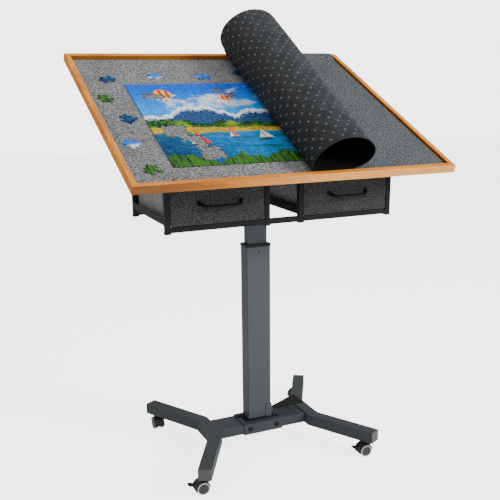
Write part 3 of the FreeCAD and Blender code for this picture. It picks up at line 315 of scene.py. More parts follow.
def disc(x, y, middle, radius):
    away = ((x - middle[0]) * (x - middle[0]) + (y - middle[1]) * (y - middle[1])).math("SQRT")
    return away.mask(radius - 0.003, radius + 0.003, 1.0, 0.0)


def sail(x, y, foot, height, lean):
    """A curved triangle that stands on its foot; lean is its width, to the left where it is negative."""
    up = (y - foot[1]).mask(0.0, 0.004)
    across = (x - foot[0]) * (1.0 / lean) + (y - foot[1]) * (1.0 / height)
    mast = ((x - foot[0]) * (1.0 / lean)).mask(0.0, 0.03)
    return up * mast * across.mask(0.96, 1.0, 1.0, 0.0)


def skyline(x, seed, scale, detail, rough=0.5):
    """A wavy height along the print; each seed gives another line."""
    return clouds(vector(x.tree, x, seed), scale, detail, rough)


def ground_under(line, y, paint, ground, start=-0.003, end=0.004):
    """The paint, covered by the ground where the print lies below a line."""
    return (line - y).mask(start, end).blend(paint, ground)


# ---- the print on the puzzle, in print heights from its front left corner ----

# Boats: foot, height of the big sail and its colour.
BOATS = (((0.24, 0.225), 0.15, (0.72, 0.018, 0.010)),
         ((0.66, 0.265), 0.11, (0.82, 0.80, 0.72)),
         ((0.98, 0.16), 0.17, (0.74, 0.05, 0.012)),
         ((0.47, 0.292), 0.07, (0.80, 0.16, 0.015)))
# Balloons: middle, radius and the two colours of their gores.
BALLOONS = (((0.20, 0.86), 0.062, (0.76, 0.03, 0.012), (0.86, 0.62, 0.05)),
            ((0.60, 0.80), 0.040, (0.85, 0.42, 0.02), (0.62, 0.02, 0.05)),
            ((0.93, 0.90), 0.052, (0.10, 0.42, 0.03), (0.88, 0.80, 0.30)))
HULL_BROWN = (0.07, 0.022, 0.008)
SAIL_CREAM = (0.78, 0.74, 0.62)
BASKET_BROWN = (0.12, 0.045, 0.015)


def paint_sky(place, brush, x, y):
    """Blue that deepens upwards, behind a slanting bank of clouds."""
    sky = (y + brush * 0.10).mask(0.60, 1.04).blend((0.0, 0.33, 0.92), (0.0, 0.10, 0.66))
    puffs = clouds(mapped(place, (1.0, 1.7, 1.0), move=(0.4, 0.9, 0)), 3.6, 7.0, 0.60, 0.3)
    slant = y - x * 0.16
    bank = slant.mask(0.50, 0.66) * slant.mask(0.76, 0.92, 1.0, 0.0)
    cloud = (puffs * 0.9 + bank * 0.20).mask(0.60, 0.70)
    shade = (clouds(place, 11.0, 4.0, 0.6) * 0.7 + brush * 0.3).mask(0.35, 0.62)
    return cloud.blend(sky, shade.blend((0.16, 0.34, 0.60), (0.86, 0.87, 0.85)))


def paint_peaks(dab, x, y, paint):
    """Blue rock with snow along its ridge."""
    ridge = skyline(x, 3.7, 3.1, 6.0, 0.52) * 0.62 + 0.30
    rock = dab.mask(0.35, 0.65).blend((0.003, 0.022, 0.10), (0.030, 0.11, 0.27))
    snow = ((y - ridge) + dab * 0.12).mask(0.00, 0.03)
    return ground_under(ridge, y, paint, snow.blend(rock, (0.80, 0.86, 0.92)))


def paint_woods(place, brush, x, y, paint):
    """Leafy crowns with sunny patches."""
    leaves = cells(place, 46.0)
    crown = skyline(x, 8.1, 2.3, 4.0, 0.55) * 0.42 + 0.27 + leaves * 0.03
    green = (leaves + brush * 0.6).mask(0.25, 0.95).blend((0.09, 0.30, 0.006), (0.002, 0.035, 0.006))
    sunny = clouds(place, 7.0, 2.0).mask(0.50, 0.66)
    return ground_under(crown, y, paint, (sunny * 0.7).blend(green, (0.26, 0.42, 0.010)))


def paint_field(place, brush, x, y, paint):
    """Rows of ripe and green corn with poppies."""
    rows = clouds(mapped(place, (2.0, 26.0, 1.0)), 5.0, 2.0, 0.5)
    field = rows.mask(0.4, 0.6).blend((0.70, 0.42, 0.02), (0.22, 0.27, 0.015))
    poppies = cells(mapped(place, (1.0, 1.8, 1.0)), 44.0).mask(0.28, 0.40, 1.0, 0.0)
    field = (poppies * clouds(place, 5.0, 1.0).mask(0.42, 0.56)).blend(field, (0.75, 0.012, 0.008))
    slope = 0.43 - x * 0.045 + brush * 0.02
    return ground_under(slope, y, paint, field, -0.002, 0.003)


def paint_lake(place, brush, x, y, paint):
    """Water with light streaks, a glare on the right and green reflections."""
    deep, bright = (0.001, 0.014, 0.085), (0.001, 0.20, 0.55)
    water = (x + y * 0.9 + brush * 0.12).mask(0.10, 1.05).blend(deep, bright)
    streak = clouds(mapped(place, (2.2, 22.0, 1.0)), 6.0, 4.0, 0.62, 0.4)
    water = streak.mask(0.53, 0.68, 0.0, 0.7).blend(water, (0.03, 0.34, 0.72))
    water = (streak.mask(0.62, 0.70) * x.mask(0.5, 1.1)).blend(water, (0.70, 0.84, 0.92))
    reflection = clouds(mapped(place, (1.0, 5.0, 1.0)), 5.0, 3.0).mask(0.52, 0.62, 0.0, 0.7)
    water = reflection.blend(water, (0.010, 0.085, 0.045))
    shore = 0.335 + skyline(x, 1.3, 5.0, 3.0) * 0.05
    return ground_under(shore, y, paint, water, -0.002, 0.003)


def paint_reeds(place, x, y, paint):
    """Tufts of reeds along the front."""
    reeds = clouds(mapped(place, (70.0, 7.0, 1.0), (0, 0, 0.12)), 1.0, 3.0, 0.6)
    clump = skyline(x, 5.5, 3.1, 3.0, 0.6) * 0.62 - 0.27 + reeds * 0.09
    blades = reeds.mask(0.35, 0.62).blend((0.002, 0.022, 0.008), (0.050, 0.17, 0.006))
    return ground_under(clump, y, paint, blades, -0.002, 0.004)


def paint_boat(x, y, paint, foot, height, tone):
    """A flat hull with a big coloured sail and a small cream one."""
    hull = disc((x - foot[0]) * 0.22 + foot[0], y, (foot[0], foot[1] - 0.002), height * 0.085)
    paint = hull.blend(paint, HULL_BROWN)
    big = sail(x, y, (foot[0] + 0.003, foot[1] + 0.012), height, height * 0.48)
    small = sail(x, y, (foot[0] - 0.003, foot[1] + 0.012), height * 0.8, -height * 0.34)
    return small.blend(big.blend(paint, tone), SAIL_CREAM)


def paint_balloon(x, y, paint, middle, radius, tone, other):
    """A striped balloon with its basket."""
    gore = ((x - middle[0]) * (9.0 / radius)).math("SINE").mask(-0.2, 0.2)
    basket = disc(x, y, (middle[0], middle[1] - radius * 1.45), radius * 0.16)
    skin = disc(x, y + (x - middle[0]) * (x - middle[0]) * 3.0, middle, radius)
    return skin.blend(basket.blend(paint, BASKET_BROWN), gore.blend(tone, other))


def lake_print(place):
    """A painted print: balloons over snowy peaks, woods, a poppy field and a lake with red sails."""
    brush = clouds(place, 34.0, 3.0, 0.65)
    dab = clouds(mapped(place, (1.0, 2.4, 1.0), (0, 0, 0.5)), 46.0, 2.0, 0.6)
    x, y, _ = (place + vector(place.tree, (brush - 0.5) * 0.010, (dab - 0.5) * 0.008)).parts()
    paint = paint_sky(place, brush, x, y)
    paint = paint_peaks(dab, x, y, paint)
    paint = paint_woods(place, brush, x, y, paint)
    paint = paint_field(place, brush, x, y, paint)
    paint = paint_lake(place, brush, x, y, paint)
    paint = paint_reeds(place, x, y, paint)
    for boat in BOATS:
        paint = paint_boat(x, y, paint, *boat)
    for balloon in BALLOONS:
        paint = paint_balloon(x, y, paint, *balloon)
    # Painted highlight: pale specks over the whole print stand in for light caught at the piece seams.
    glint = clouds(place, 150.0, 2.0, 0.7).mask(0.56, 0.70, 0.0, 0.20)
    paint = glint.blend(paint, (0.34, 0.64, 0.84))
    return brush.mask(0.30, 0.62, 0.14, 0.0).blend(paint, (0.004, 0.012, 0.03)), dab


# ---- effects that several finishes share ----

KINDS = {"color": "NodeSocketColor", "vector": "NodeSocketVector", "value": "NodeSocketFloat"}


def effect(name, inputs, outputs, build):
    """A node group with named sockets, filled by a function."""
    tree = bpy.data.node_groups.new(name, "ShaderNodeTree")
    for direction, sockets in (("INPUT", inputs), ("OUTPUT", outputs)):
        for label, kind in sockets:
            tree.interface.new_socket(name=label, in_out=direction, socket_type=KINDS[kind])
    start = tree.nodes.new("NodeGroupInput")
    end = tree.nodes.new("NodeGroupOutput")
    for slot, item in zip(end.inputs, build(*[Field(output) for output in start.outputs[:len(inputs)]])):
        feed(slot, item)
    return tree


def felt_fleck(place, size, dark, light, soft):
    """Short mixed fibres: dark and light flecks, and a soft uneven nap."""
    coarse = clouds(place, size * 0.8, 5.0, 0.85)
    fine = clouds(mapped(place, (1, 2.6, 1.6), (0.5, 0.3, 0.8), (3.1, 1.7, 0.4)), size * 1.3, 3.0, 0.8)
    broad = clouds(place, 9.0, 2.0)
    grain = coarse * 0.62 + fine * 0.38
    mask = grain.mask(0.5 - soft, soft + 0.5)
    color = mask.blend(dark, light)
    shaded = broad.mask(0.3, 0.7, 0.0, 0.16).blend(color, dark)
    fibre = clouds(mapped(place, (1, 3.4, 1), (0, 0, 0.8)), size * 1.6, 2.0, 0.7, 2.0)
    return shaded, grain * 0.7 + fibre * 0.5


def wood_grain(place, early, late):
    """Straight grain that runs along x, with pores and a slow change of tone."""
    stretched = mapped(place, (0.9, 14.0, 14.0))
    bands = clouds(stretched, 9.0, 3.0, 0.55, 0.6)
    lines = clouds(mapped(place, (2.2, 60.0, 60.0)), 11.0, 3.0, 0.6, 0.3)
    pores = clouds(mapped(place, (9.0, 260.0, 260.0)), 9.0, 1.0)
    tone = clouds(mapped(place, (1.0, 5.0, 5.0)), 4.0, 1.0)
    ring = bands.mask(0.38, 0.62) * 0.6 + lines.mask(0.35, 0.7) * 0.4
    color = ring.blend(early, late)
    color = tone.mask(0.35, 0.7, 0.0, 0.5).blend(color, late)
    dark = pores.mask(0.62, 0.74, 0.0, 0.45).blend(color, (0.05, 0.02, 0.008))
    return dark, ring * 0.22 + pores.mask(0.6, 0.75, 0.0, -0.5), lines.mask(0.3, 0.7, 0.42, 0.58)


def powder_coat(place, color):
    """Baked powder: orange peel, fine sparkle and a few light scuffs."""
    peel = clouds(place, 900.0, 2.0)
    speck = cells(place, 1500.0)
    streak = clouds(mapped(place, (30.0, 30.0, 4.0)), 3.0, 3.0, 0.7)
    tone = speck.mask(0.1, 0.5, 0.03, 0.0).blend(color, (0.24, 0.25, 0.26))
    dusty = streak.mask(0.55, 0.85, 0.0, 0.015).blend(tone, (0.3, 0.3, 0.3))
    return dusty, peel, peel.mask(0.3, 0.7, 0.44, 0.56)


def moulded(place, color):
    """Spark-eroded plastic with a faint swirl of tone."""
    grain = cells(place, 1600.0)
    swirl = clouds(place, 40.0, 3.0, 0.6)
    tone = swirl.mask(0.3, 0.75, 0.0, 0.012).blend(color, (0.3, 0.3, 0.3))
    return tone, grain, swirl.mask(0.3, 0.7, 0.42, 0.6)


RIB_TURN = math.radians(52)
RIB_PITCH = 6.3 * MM
CROSS_THREAD_PITCH = 7.8 * MM


def rib_weave(place):
    """Slanting ribs cut by finer cross threads: height, and a mask of the rib tops, lighter with wear and
    with painted light towards the top and right of the roll.
    """
    across, along, _ = mapped(place, turn=(0, 0, RIB_TURN)).parts()
    length, _, _ = place.parts()
    ribs = (across * (2 * math.pi / RIB_PITCH)).math("SINE") * 0.5 + 0.5
    threads = (along * (2 * math.pi / CROSS_THREAD_PITCH)).math("SINE") * 0.5 + 0.5
    # Patchy wear from the noise, and painted light from the length term, which lightens the ribs from the top
    # of the roll round to its right side.
    wear_and_light = clouds(place, 26.0, 3.0).mask(0.25, 0.75, 0.6, 1.0) * length.mask(0.45, 0.62, 0.35, 1.0)
    return ribs * 0.8 + threads * 0.2, ribs * (threads * 0.35 + 0.65) * wear_and_light


PLACE = ("Place", "vector")
COLOR = ("Color", "color")
HEIGHT = ("Height", "value")
ROUGHNESS = ("Roughness", "value")
FLECK_INPUTS = [PLACE, ("Size", "value"), ("Dark", "color"), ("Light", "color"), ("Soft", "value")]
GRAIN_INPUTS = [PLACE, ("Early", "color"), ("Late", "color")]
EFFECTS = {name: effect(name, inputs, outputs, build) for name, inputs, outputs, build in (
    ("felt_fleck", FLECK_INPUTS, [COLOR, HEIGHT], felt_fleck),
    ("wood_grain", GRAIN_INPUTS, [COLOR, HEIGHT, ROUGHNESS], wood_grain),
    ("powder_coat", [PLACE, COLOR], [COLOR, HEIGHT, ROUGHNESS], powder_coat),
    ("moulded", [PLACE, COLOR], [COLOR, HEIGHT, ROUGHNESS], moulded),
    ("lake_print", [PLACE], [COLOR, HEIGHT], lake_print),
    ("rib_weave", [PLACE], [HEIGHT, ("Wear_and_light", "value")], rib_weave),
)}


class Finish:
    """A material with its Principled shader and the places that its effects read."""

    def __init__(self, name, roughness=0.5, metallic=0.0, **settings):
        self.material = bpy.data.materials.new(name)
        self.material.use_nodes = True
        self.tree = self.material.node_tree
        self.shader = next(node for node in self.tree.nodes if node.type == "BSDF_PRINCIPLED")
        self.shader.inputs["Roughness"].default_value = roughness
        self.shader.inputs["Metallic"].default_value = metallic
        for label, number in settings.items():
            feed(self.shader.inputs[label.replace("_", " ")], number)

    def where(self, source="Object"):
        node = self.tree.nodes.new("ShaderNodeTexCoord")
        return Field(node.outputs[source])

    def use(self, name, *items):
        node = self.tree.nodes.new("ShaderNodeGroup")
        node.node_tree = EFFECTS[name]
        for slot, item in zip(node.inputs, items):
            feed(slot, item)
        return [Field(output) for output in node.outputs]

    def set(self, label, item):
        feed(self.shader.inputs[label], item)
        return self

    def bump(self, height, distance, strength):
        node = self.tree.nodes.new("ShaderNodeBump")
        node.inputs["Distance"].default_value = distance
        node.inputs["Strength"].default_value = strength
        feed(node.inputs["Height"], height)
        self.set("Normal", Field(node.outputs[0]))
        return self


def coated(name, color, **settings):
    finish = Finish(name, **settings)
    tone, height, rough = finish.use("powder_coat", finish.where(), color)
    return finish.set("Base Color", tone).set("Roughness", rough).bump(height, 0.00012, 0.5).material


def plastic(name, color, **settings):
    finish = Finish(name, **settings)
    tone, height, rough = finish.use("moulded", finish.where(), color)
    return finish.set("Base Color", tone).set("Roughness", rough).bump(height, 0.00008, 0.4).material


def felt(name, size, dark, light, soft=0.08, sheen=0.06):
    finish = Finish(name, roughness=0.95, Sheen_Weight=sheen, Sheen_Roughness=0.6, Specular_IOR_Level=0.08)
    tone, height = finish.use("felt_fleck", finish.where(), size, dark, light, soft)
    return finish.set("Base Color", tone).bump(height, 0.0009, 0.8).material


def mat_felt():
    """The mat's felt side, with painted shade where it is rolled up."""
    finish = Finish("mat_felt", roughness=0.95, Specular_IOR_Level=0.05)
    place = finish.where("UV")
    tone, height = finish.use("felt_fleck", place, 240.0, (0.010, 0.012, 0.014), (0.168, 0.180, 0.189), 0.07)
    length, _, _ = place.parts()
    # Painted shade: the felt turns near-black from where the roll begins, standing in for the shadow inside
    # the roll.
    rolled = length.mask(0.325, 0.42)
    shaded = rolled.blend(tone, (0.0035, 0.004, 0.0045))
    return finish.set("Base Color", shaded).bump(height, 0.0009, 0.8).material


def wood(name, along_slope, early=(0.80, 0.29, 0.016), late=(0.46, 0.125, 0.005), painted_light_share=1.0):
    """Oiled rail wood, with painted shade on the faces towards the felt and over the left part of the front
    face, and a painted highlight from the middle to the right end of the front face.
    """
    finish = Finish(name, Specular_IOR_Level=0.3)
    level = mapped(finish.where(), turn=(-TILT, 0, 0), move=tuple(BOARD.inverted().translation))
    along = mapped(level, turn=(0, 0, math.pi / 2)) if along_slope else level
    tone, height, rough = finish.use("wood_grain", along, early, late)
    x, run, _ = level.parts()
    # Painted shade: the faces towards the felt are darkened.
    inner = (x.math("ABSOLUTE").mask(INSIDE_X + 0.1 * MM, INSIDE_X + 0.5 * MM, 1.0, 0.0)
             * run.mask(INSIDE_FRONT - 0.5 * MM, INSIDE_FRONT - 0.1 * MM)
             * run.mask(INSIDE_BACK - 0.1 * MM, INSIDE_BACK + 0.3 * MM, 1.0, 0.0))
    tone = (inner * (0.75 * painted_light_share)).blend(tone, (0.07, 0.016, 0.003))
    # Painted shade over the left part of the front face, and a painted highlight from its middle to its right
    # end.
    face = run.mask(0.5 * MM, 1.5 * MM, painted_light_share, 0.0)
    tone = (x.mask(-0.42, -0.05, 0.8, 0.0) * face).blend(tone, (0.10, 0.034, 0.010))
    tone = (x.mask(-0.25, 0.05, 0.0, 0.45) * face).blend(tone, (0.86, 0.44, 0.13))
    return finish.set("Base Color", tone).set("Roughness", rough).bump(height, 0.0004, 0.5).material


def bare_metal(name, color, roughness):
    """Metal with fine scratches that darken and roughen it a little."""
    finish = Finish(name, metallic=1.0, roughness=roughness)
    scratch = clouds(mapped(finish.where(), (4.0, 4.0, 90.0)), 12.0, 3.0, 0.7)
    tone = scratch.mask(0.3, 0.7).blend(color, tuple(part * 0.72 for part in color))
    rough = scratch.mask(0.3, 0.7, roughness - 0.08, roughness + 0.1)
    return finish.set("Base Color", tone).set("Roughness", rough).bump(scratch, 0.00005, 0.4).material


# Threads of the linen emboss, in radians to a print height.
LINEN = 2800.0


def printed_card():
    """Varnished print on card with a linen emboss."""
    finish = Finish("puzzle_print", roughness=0.5, Specular_IOR_Level=0.05)
    place = finish.where("UV")
    tone, dab = finish.use("lake_print", place)
    x, y, _ = place.parts()
    linen = (x * LINEN).math("SINE") * 0.5 + (y * LINEN).math("SINE") * 0.5
    return finish.set("Base Color", tone).bump(linen * 0.4 + dab, 0.00006, 0.5).material


def mat_rubber():
    """The mat's ribbed rubber side, lighter on the rib tops with wear and with painted light on the top and
    right of the roll.
    """
    finish = Finish("mat_rubber", roughness=0.62, Specular_IOR_Level=0.22)
    height, wear_and_light = finish.use("rib_weave", finish.where("UV"))
    tone = wear_and_light.mask(0.25, 0.8).blend((0.0065, 0.0082, 0.0095), (0.080, 0.090, 0.097))
    return finish.set("Base Color", tone).bump(height, 0.0009, 0.9).material


FINISHES = {
    "frame_steel": coated("charcoal_powder", (0.0045, 0.0058, 0.0068), Specular_IOR_Level=0.16),
    "column_steel": coated("slate_powder", (0.052, 0.062, 0.069), Specular_IOR_Level=0.3),
    "bright_steel": bare_metal("zinc_plate", (0.62, 0.63, 0.65), 0.32),
    "black_plastic": plastic("black_moulding", (0.0035, 0.004, 0.0045), Specular_IOR_Level=0.25),
    "caster_grey": plastic("caster_moulding", (0.013, 0.015, 0.017)),
    "wheel_dark": plastic("hub_moulding", (0.028, 0.031, 0.034)),
    "rubber": plastic("rubber_pad", (0.015, 0.015, 0.016), Specular_IOR_Level=0.2),
    "drawer_felt": felt("drawer_felt", 400.0, (0.0008, 0.001, 0.0013), (0.080, 0.084, 0.088), 0.05, 0.03),
    "board_felt": felt("board_felt", 300.0, (0.012, 0.013, 0.015), (0.335, 0.34, 0.345), 0.04),
    "board_wood": wood("panel_wood", False, (0.52, 0.33, 0.17), (0.34, 0.18, 0.075), 0.0),
    "rail_wood": wood("rail_wood_across", False),
    "mat_rubber": mat_rubber(),
    "handle_black": plastic("handle_moulding", (0.0022, 0.0025, 0.003), Specular_IOR_Level=0.2),
}
SIDE_WOOD = wood("rail_wood_along", True, (0.94, 0.36, 0.012), (0.50, 0.125, 0.003))
# A separate, slightly lighter copy of the column's slate powder for the inner column: painted light that
# lifts the board's shadow on it.
INNER_STEEL = coated("inner_slate_painted_light", (0.055, 0.066, 0.073), Specular_IOR_Level=0.3)
BASE_STEEL = coated("base_powder", (0.034, 0.041, 0.045), Specular_IOR_Level=0.3)
# Mid-grey plugs, lighter than the feet: partly the plugs' own grey, partly a painted highlight for the light
# on the front caps.
PLUG = plastic("end_plug", (0.066, 0.070, 0.073))
MAT_FELT = mat_felt()
MAT_EDGE = plastic("mat_edge", (0.008, 0.009, 0.010), Specular_IOR_Level=0.2)
DOT_RUBBER = plastic("dot_rubber", (0.078, 0.088, 0.095))
BIN_FELT = felt("bin_felt", 260.0, (0.050, 0.053, 0.056), (0.42, 0.43, 0.435))
FELT_TAPE = felt("felt_tape", 700.0, (0.015, 0.017, 0.019), (0.085, 0.09, 0.095))
THREAD = felt("thread", 1500.0, (0.02, 0.022, 0.024), (0.09, 0.095, 0.10))
TYRE = plastic("soft_tyre", (0.60, 0.61, 0.62), Specular_IOR_Level=0.3)
CARD_CORE = plastic("card_core", (0.03, 0.028, 0.026), Specular_IOR_Level=0.2)
BLACK_OXIDE = bare_metal("black_oxide", (0.035, 0.036, 0.038), 0.5)
PRINT = printed_card()


# ---- cover mat ----

MAT_LENGTH = 868 * MM
MAT_FRONT = 18 * MM
MAT_BACK = 731 * MM
MAT_THICK = 3 * MM
MAT_REST = -9.7 * MM
MAT_RIGHT = 430 * MM
MAT_CORNER = 14 * MM
MAT_PINCH = 0.9 * MM
# Where the mat climbs the back rail, how far, and the height over which the roll loses it.
RAIL_CLIMB = (694 * MM, 716.5 * MM)
RAIL_LIFT = 10.4 * MM
LIFT_FADE = 70 * MM
ROLL_START = 110 * MM
# Outlines of the roll at its front and back end, in millimetres: across the
# board and up from its rails, starting at the bottom and going over the left.
ROLL_FRONT = ((110, -9.7), (60, -9.5), (25, -4), (14, 13), (22, 41), (46, 68), (80, 86),
              (117, 91), (155, 83), (182, 64), (191, 42), (183, 19), (163, 3), (136, -6))
ROLL_BACK = ((110, -9.7), (76, -8), (48, 6), (32, 32), (29, 60), (38, 91), (63, 118),
             (98, 137), (136, 143), (175, 136), (206, 111), (216, 77), (203, 37), (162, 2))
# Grip dots: profile in shares of radius and height, and their staggered rows.
DOT_PROFILE = ((1.0, 0.0), (0.86, 0.75), (0.62, 1.0), (0.32, 0.62), (0.0, 0.5))
DOT_RADIUS = 3.4 * MM
DOT_HEIGHT = 0.9 * MM
DOT_SUNK = 0.15 * MM
DOT_SIDES = 12
DOT_STARTS = (22 * MM, 38.5 * MM)
DOT_STEP = 33 * MM
DOT_ROW_STEP = 20.75 * MM
DOT_LOWEST = -2 * MM


def closed_curve(points, steps=14):
    """A smooth closed line through the given points."""
    line = []
    count = len(points)
    for index in range(count):
        a, b, c, d = (Vector(points[(index + k - 1) % count]) for k in range(4))
        for k in range(steps):
            t = k / steps
            line.append(0.5 * ((2 * b) + (c - a) * t + (2 * a - 5 * b + 4 * c - d) * t * t
                               + (3 * b - a - 3 * c + d) * t ** 3))
    return line


class RollSection:
    """The mat's underside at one distance up the slope, by its own length from the right edge."""

    def __init__(self, run):
        share = (run - MAT_FRONT) / (MAT_BACK - MAT_FRONT)
        wave = 1.2 * math.sin(run * 13.0 + 0.6)
        knots = [(mix(a[0], b[0], share) + (wave if a[1] > 20 else 0.0), mix(a[1], b[1], share))
                 for a, b in zip(ROLL_FRONT, ROLL_BACK)]
        self.run = run
        self.line = [point * MM for point in closed_curve(knots)]
        self.marks = [0.0]
        for point, after in zip(self.line, self.line[1:] + self.line[:1]):
            self.marks.append(self.marks[-1] + (after - point).length)
        self.around = self.marks[-1]
        self.flat = MAT_RIGHT - ROLL_START

    def lift(self, height):
        """How far the rail under the back edge raises the mat."""
        rise = smooth_step(*RAIL_CLIMB, self.run) * RAIL_LIFT
        return rise * max(0.0, 1 - (height - MAT_REST) / LIFT_FADE)

    def base(self, length):
        """Point and inward direction on the outline without the wrap's inset."""
        if length < self.flat:
            return Vector((MAT_RIGHT - length, MAT_REST)), Vector((0, 1))
        turned = (length - self.flat) % self.around
        low = bisect.bisect_right(self.marks, turned, 0, len(self.line)) - 1
        start = self.line[low]
        end = self.line[(low + 1) % len(self.line)]
        before = self.line[low - 1]
        after = self.line[(low + 2) % len(self.line)]
        share = (turned - self.marks[low]) / max(self.marks[low + 1] - self.marks[low], 1e-9)
        ahead = ((end - before) * (1 - share) + (after - start) * share).normalized()
        return start.lerp(end, share), Vector((ahead.y, -ahead.x))

    def point(self, length, depth=0.0):
        """A point of the mat, a depth inside its underside, in the board's frame."""
        spot, inward = self.base(length)
        turned = max(length - self.flat, 0.0) / self.around
        inset = smooth_step(0.68, 1.0, turned) * 4.6 * MM
        spot = spot + inward * (inset + depth)
        return BOARD @ Vector((spot.x, self.run, spot.y + self.lift(spot.y)))


def corner_inset(run, radius):
    """How far a rounded corner pulls in a sheet's end there."""
    edge = min(run - MAT_FRONT, MAT_BACK - run)
    return 0.0 if edge >= radius else radius - math.sqrt(radius ** 2 - (radius - edge) ** 2)


def mat_runs():
    """Distances up the slope of the mat's rows, closer together at its two edges."""
    count = 84
    fine = [0.0, 0.0006, 0.0018, 0.0035, 0.006]
    runs = [MAT_FRONT + step for step in fine]
    runs += [mix(MAT_FRONT + 0.009, MAT_BACK - 0.009, k / (count - 1)) for k in range(count)]
    return runs + [MAT_BACK - step for step in reversed(fine)]


def make_mat():
    """The rubber-backed felt mat: flat on the right, rolled up on the left."""
    form = Form()
    across = 236
    outer, inner, flat = [], [], []
    for run in mat_runs():
        section = RollSection(run)
        inset = corner_inset(run, MAT_CORNER)
        lengths = [mix(inset, MAT_LENGTH - inset, k / (across - 1)) for k in range(across)]
        edge = min(run - MAT_FRONT, MAT_BACK - run)
        pinch = MAT_PINCH * (1 - smooth_step(0.0, MAT_THICK, edge))
        outer.append([section.point(length, pinch) for length in lengths])
        inner.append([section.point(length, MAT_THICK - pinch) for length in lengths])
        flat.append([(length, run) for length in lengths])
    form.sheet(outer, 0, uvs=flat, flip=True)
    form.sheet(inner, 1, uvs=flat)
    for rows in ((outer[0], inner[0]), (inner[-1], outer[-1])):
        form.sheet(rows, 2)
    form.sheet([[row[0] for row in inner], [row[0] for row in outer]], 2)
    form.sheet([[row[-1] for row in outer], [row[-1] for row in inner]], 2)
    finishes = [FINISHES["mat_rubber"], MAT_FELT, MAT_EDGE]
    mat = make("cover_mat_sheet", form, "tabletop", finishes, ["cover_mat"], 60)
    dots = make_dots()


def make_dots():
    """Raised grip dots on the underside, where the roll turns it outwards."""
    form = Form()
    slope = BOARD.to_3x3()
    along = (slope @ Vector((0, 1, 0))).normalized()
    run = MAT_FRONT + 15 * MM
    shifted = False
    while run < MAT_BACK - 12 * MM:
        section = RollSection(run)
        length = section.flat + DOT_STARTS[shifted]
        while length < section.flat + section.around * 0.96:
            spot, inward = section.base(length)
            if spot.y > DOT_LOWEST:
                middle = section.point(length)
                side = (section.point(length + 2 * MM) - section.point(length - 2 * MM)).normalized()
                out = side.cross(along).normalized()
                if out.dot(slope @ Vector((inward.x, 0, inward.y))) > 0:
                    out = -out
                rows = [[middle + (side * a + along * b) * DOT_RADIUS * wide
                         + out * (high * DOT_HEIGHT - DOT_SUNK) for a, b in circle(1.0, DOT_SIDES)]
                        for wide, high in DOT_PROFILE]
                form.sheet(rows, loop=True, flip=side.cross(along).dot(out) < 0)
            length += DOT_STEP
        run += DOT_ROW_STEP
        shifted = not shifted
    return make("mat_grip_dots", form, "tabletop", [DOT_RUBBER], crease=50)


# ---- board felt ----

def make_board_felt():
    """Felt stretched over the panel, pressed down along the rails."""
    form = Form()
    across, along = 96, 80
    gap = 0.3 * MM
    top, flat = [], []
    for i in range(along + 1):
        run = mix(INSIDE_FRONT + gap, INSIDE_BACK - gap, i / along)
        row, uv = [], []
        for j in range(across + 1):
            x = mix(-INSIDE_X + gap, INSIDE_X - gap, j / across)
            edge = min(INSIDE_X - abs(x), run - INSIDE_FRONT, INSIDE_BACK - run)
            wave = 0.12 * MM * noise.noise(Vector((x * 22, run * 22, 0)))
            sunk = 0.9 * MM * (1 - smooth_step(0.0, 0.009, edge))
            row.append(BOARD @ Vector((x, run, FELT_Z - 0.12 * MM + wave - sunk)))
            uv.append((x, run))
        top.append(row)
        flat.append(uv)
    form.sheet(top, 0, uvs=flat)
    low = BOARD.to_3x3() @ Vector((0, 0, -1.0 * MM))
    form.sheet([[point + low for point in row] for row in top], 0, uvs=flat, flip=True)
    left, right = [row[0] for row in top], [row[-1] for row in top]
    for side, flip in ((top[0], False), (top[-1], True), (left, True), (right, False)):
        form.sheet([side, [point + low for point in side]], 0, flip=flip)
    cloth = make("board_felt_sheet", form, "tabletop", [FINISHES["board_felt"]], ["board_felt"])


# ---- jigsaw puzzle ----

PUZZLE_LEFT = -322 * MM
PUZZLE_FRONT = 89 * MM
PUZZLE_WIDE = 620 * MM
PUZZLE_DEEP = 452 * MM
CARD_TOP = -10 * MM
COLUMNS = 20
ROWS = 15
# Empty places, as column and row from the front left corner.
MISSING = {(1, 12), (2, 12), (9, 12), (8, 13), (1, 6), (2, 6), (1, 5), (2, 5), (2, 4), (3, 4),
           (3, 3), (3, 2), (4, 2), (3, 1), (4, 1)}
# Loose pieces: place across and up the board, turn, the sides with a knob
# (right, back, left, front; -1 is a socket) and the spot of the print they show.
LOOSE = ((-360, 578, 12, (1, -1, 1, -1), (-0.30, 0.25)), (-220, 593, -18, (1, 1, -1, -1), (0.30, 0.79)),
         (-71, 590, 8, (1, -1, 1, -1), (0.75, 0.93)), (58, 611, 0, (-1, 1, 1, -1), (-0.55, 0.24)),
         (-394, 461, 30, (-1, 1, -1, 1), (0.30, -0.08)), (-366, 342, 5, (1, 1, -1, 1), (-0.80, 0.22)),
         (-389, 213, -12, (1, -1, 1, 1), (0.50, 0.86)), (-374, 85, 20, (-1, 1, 1, -1), (0.62, 0.01)))
LOOSE_SIZE = 34 * MM
LOOSE_KNOB = (6 * MM, 3.3 * MM)


def knobbed(start, end, side, radius, reach, steps=9):
    """A side of a piece from start up to end, with a knob to its left (1), to its right (-1) or none (0)."""
    along = end - start
    out = Vector((-along.y, along.x)).normalized() * (side or 1)
    length = along.length
    ahead = along / length
    shoulder = [start.lerp(end, share) - out * (0.022 * length * math.sin(math.pi * share / 0.38)) * abs(side)
                for share in (0.0, 0.13, 0.27)]
    if not side:
        return shoulder + [start.lerp(end, share) for share in (0.5, 0.73, 0.87)]
    centre = start.lerp(end, 0.5) + out * reach
    knob = []
    for k in range(steps):
        angle = math.radians(mix(230, -50, k / (steps - 1)))
        knob.append(centre + (ahead * math.cos(angle) + out * math.sin(angle)) * radius)
    far = [start.lerp(end, share) - out * (0.022 * length * math.sin(math.pi * (1 - share) / 0.38))
           for share in (0.73, 0.87)]
    return shoulder + knob + far


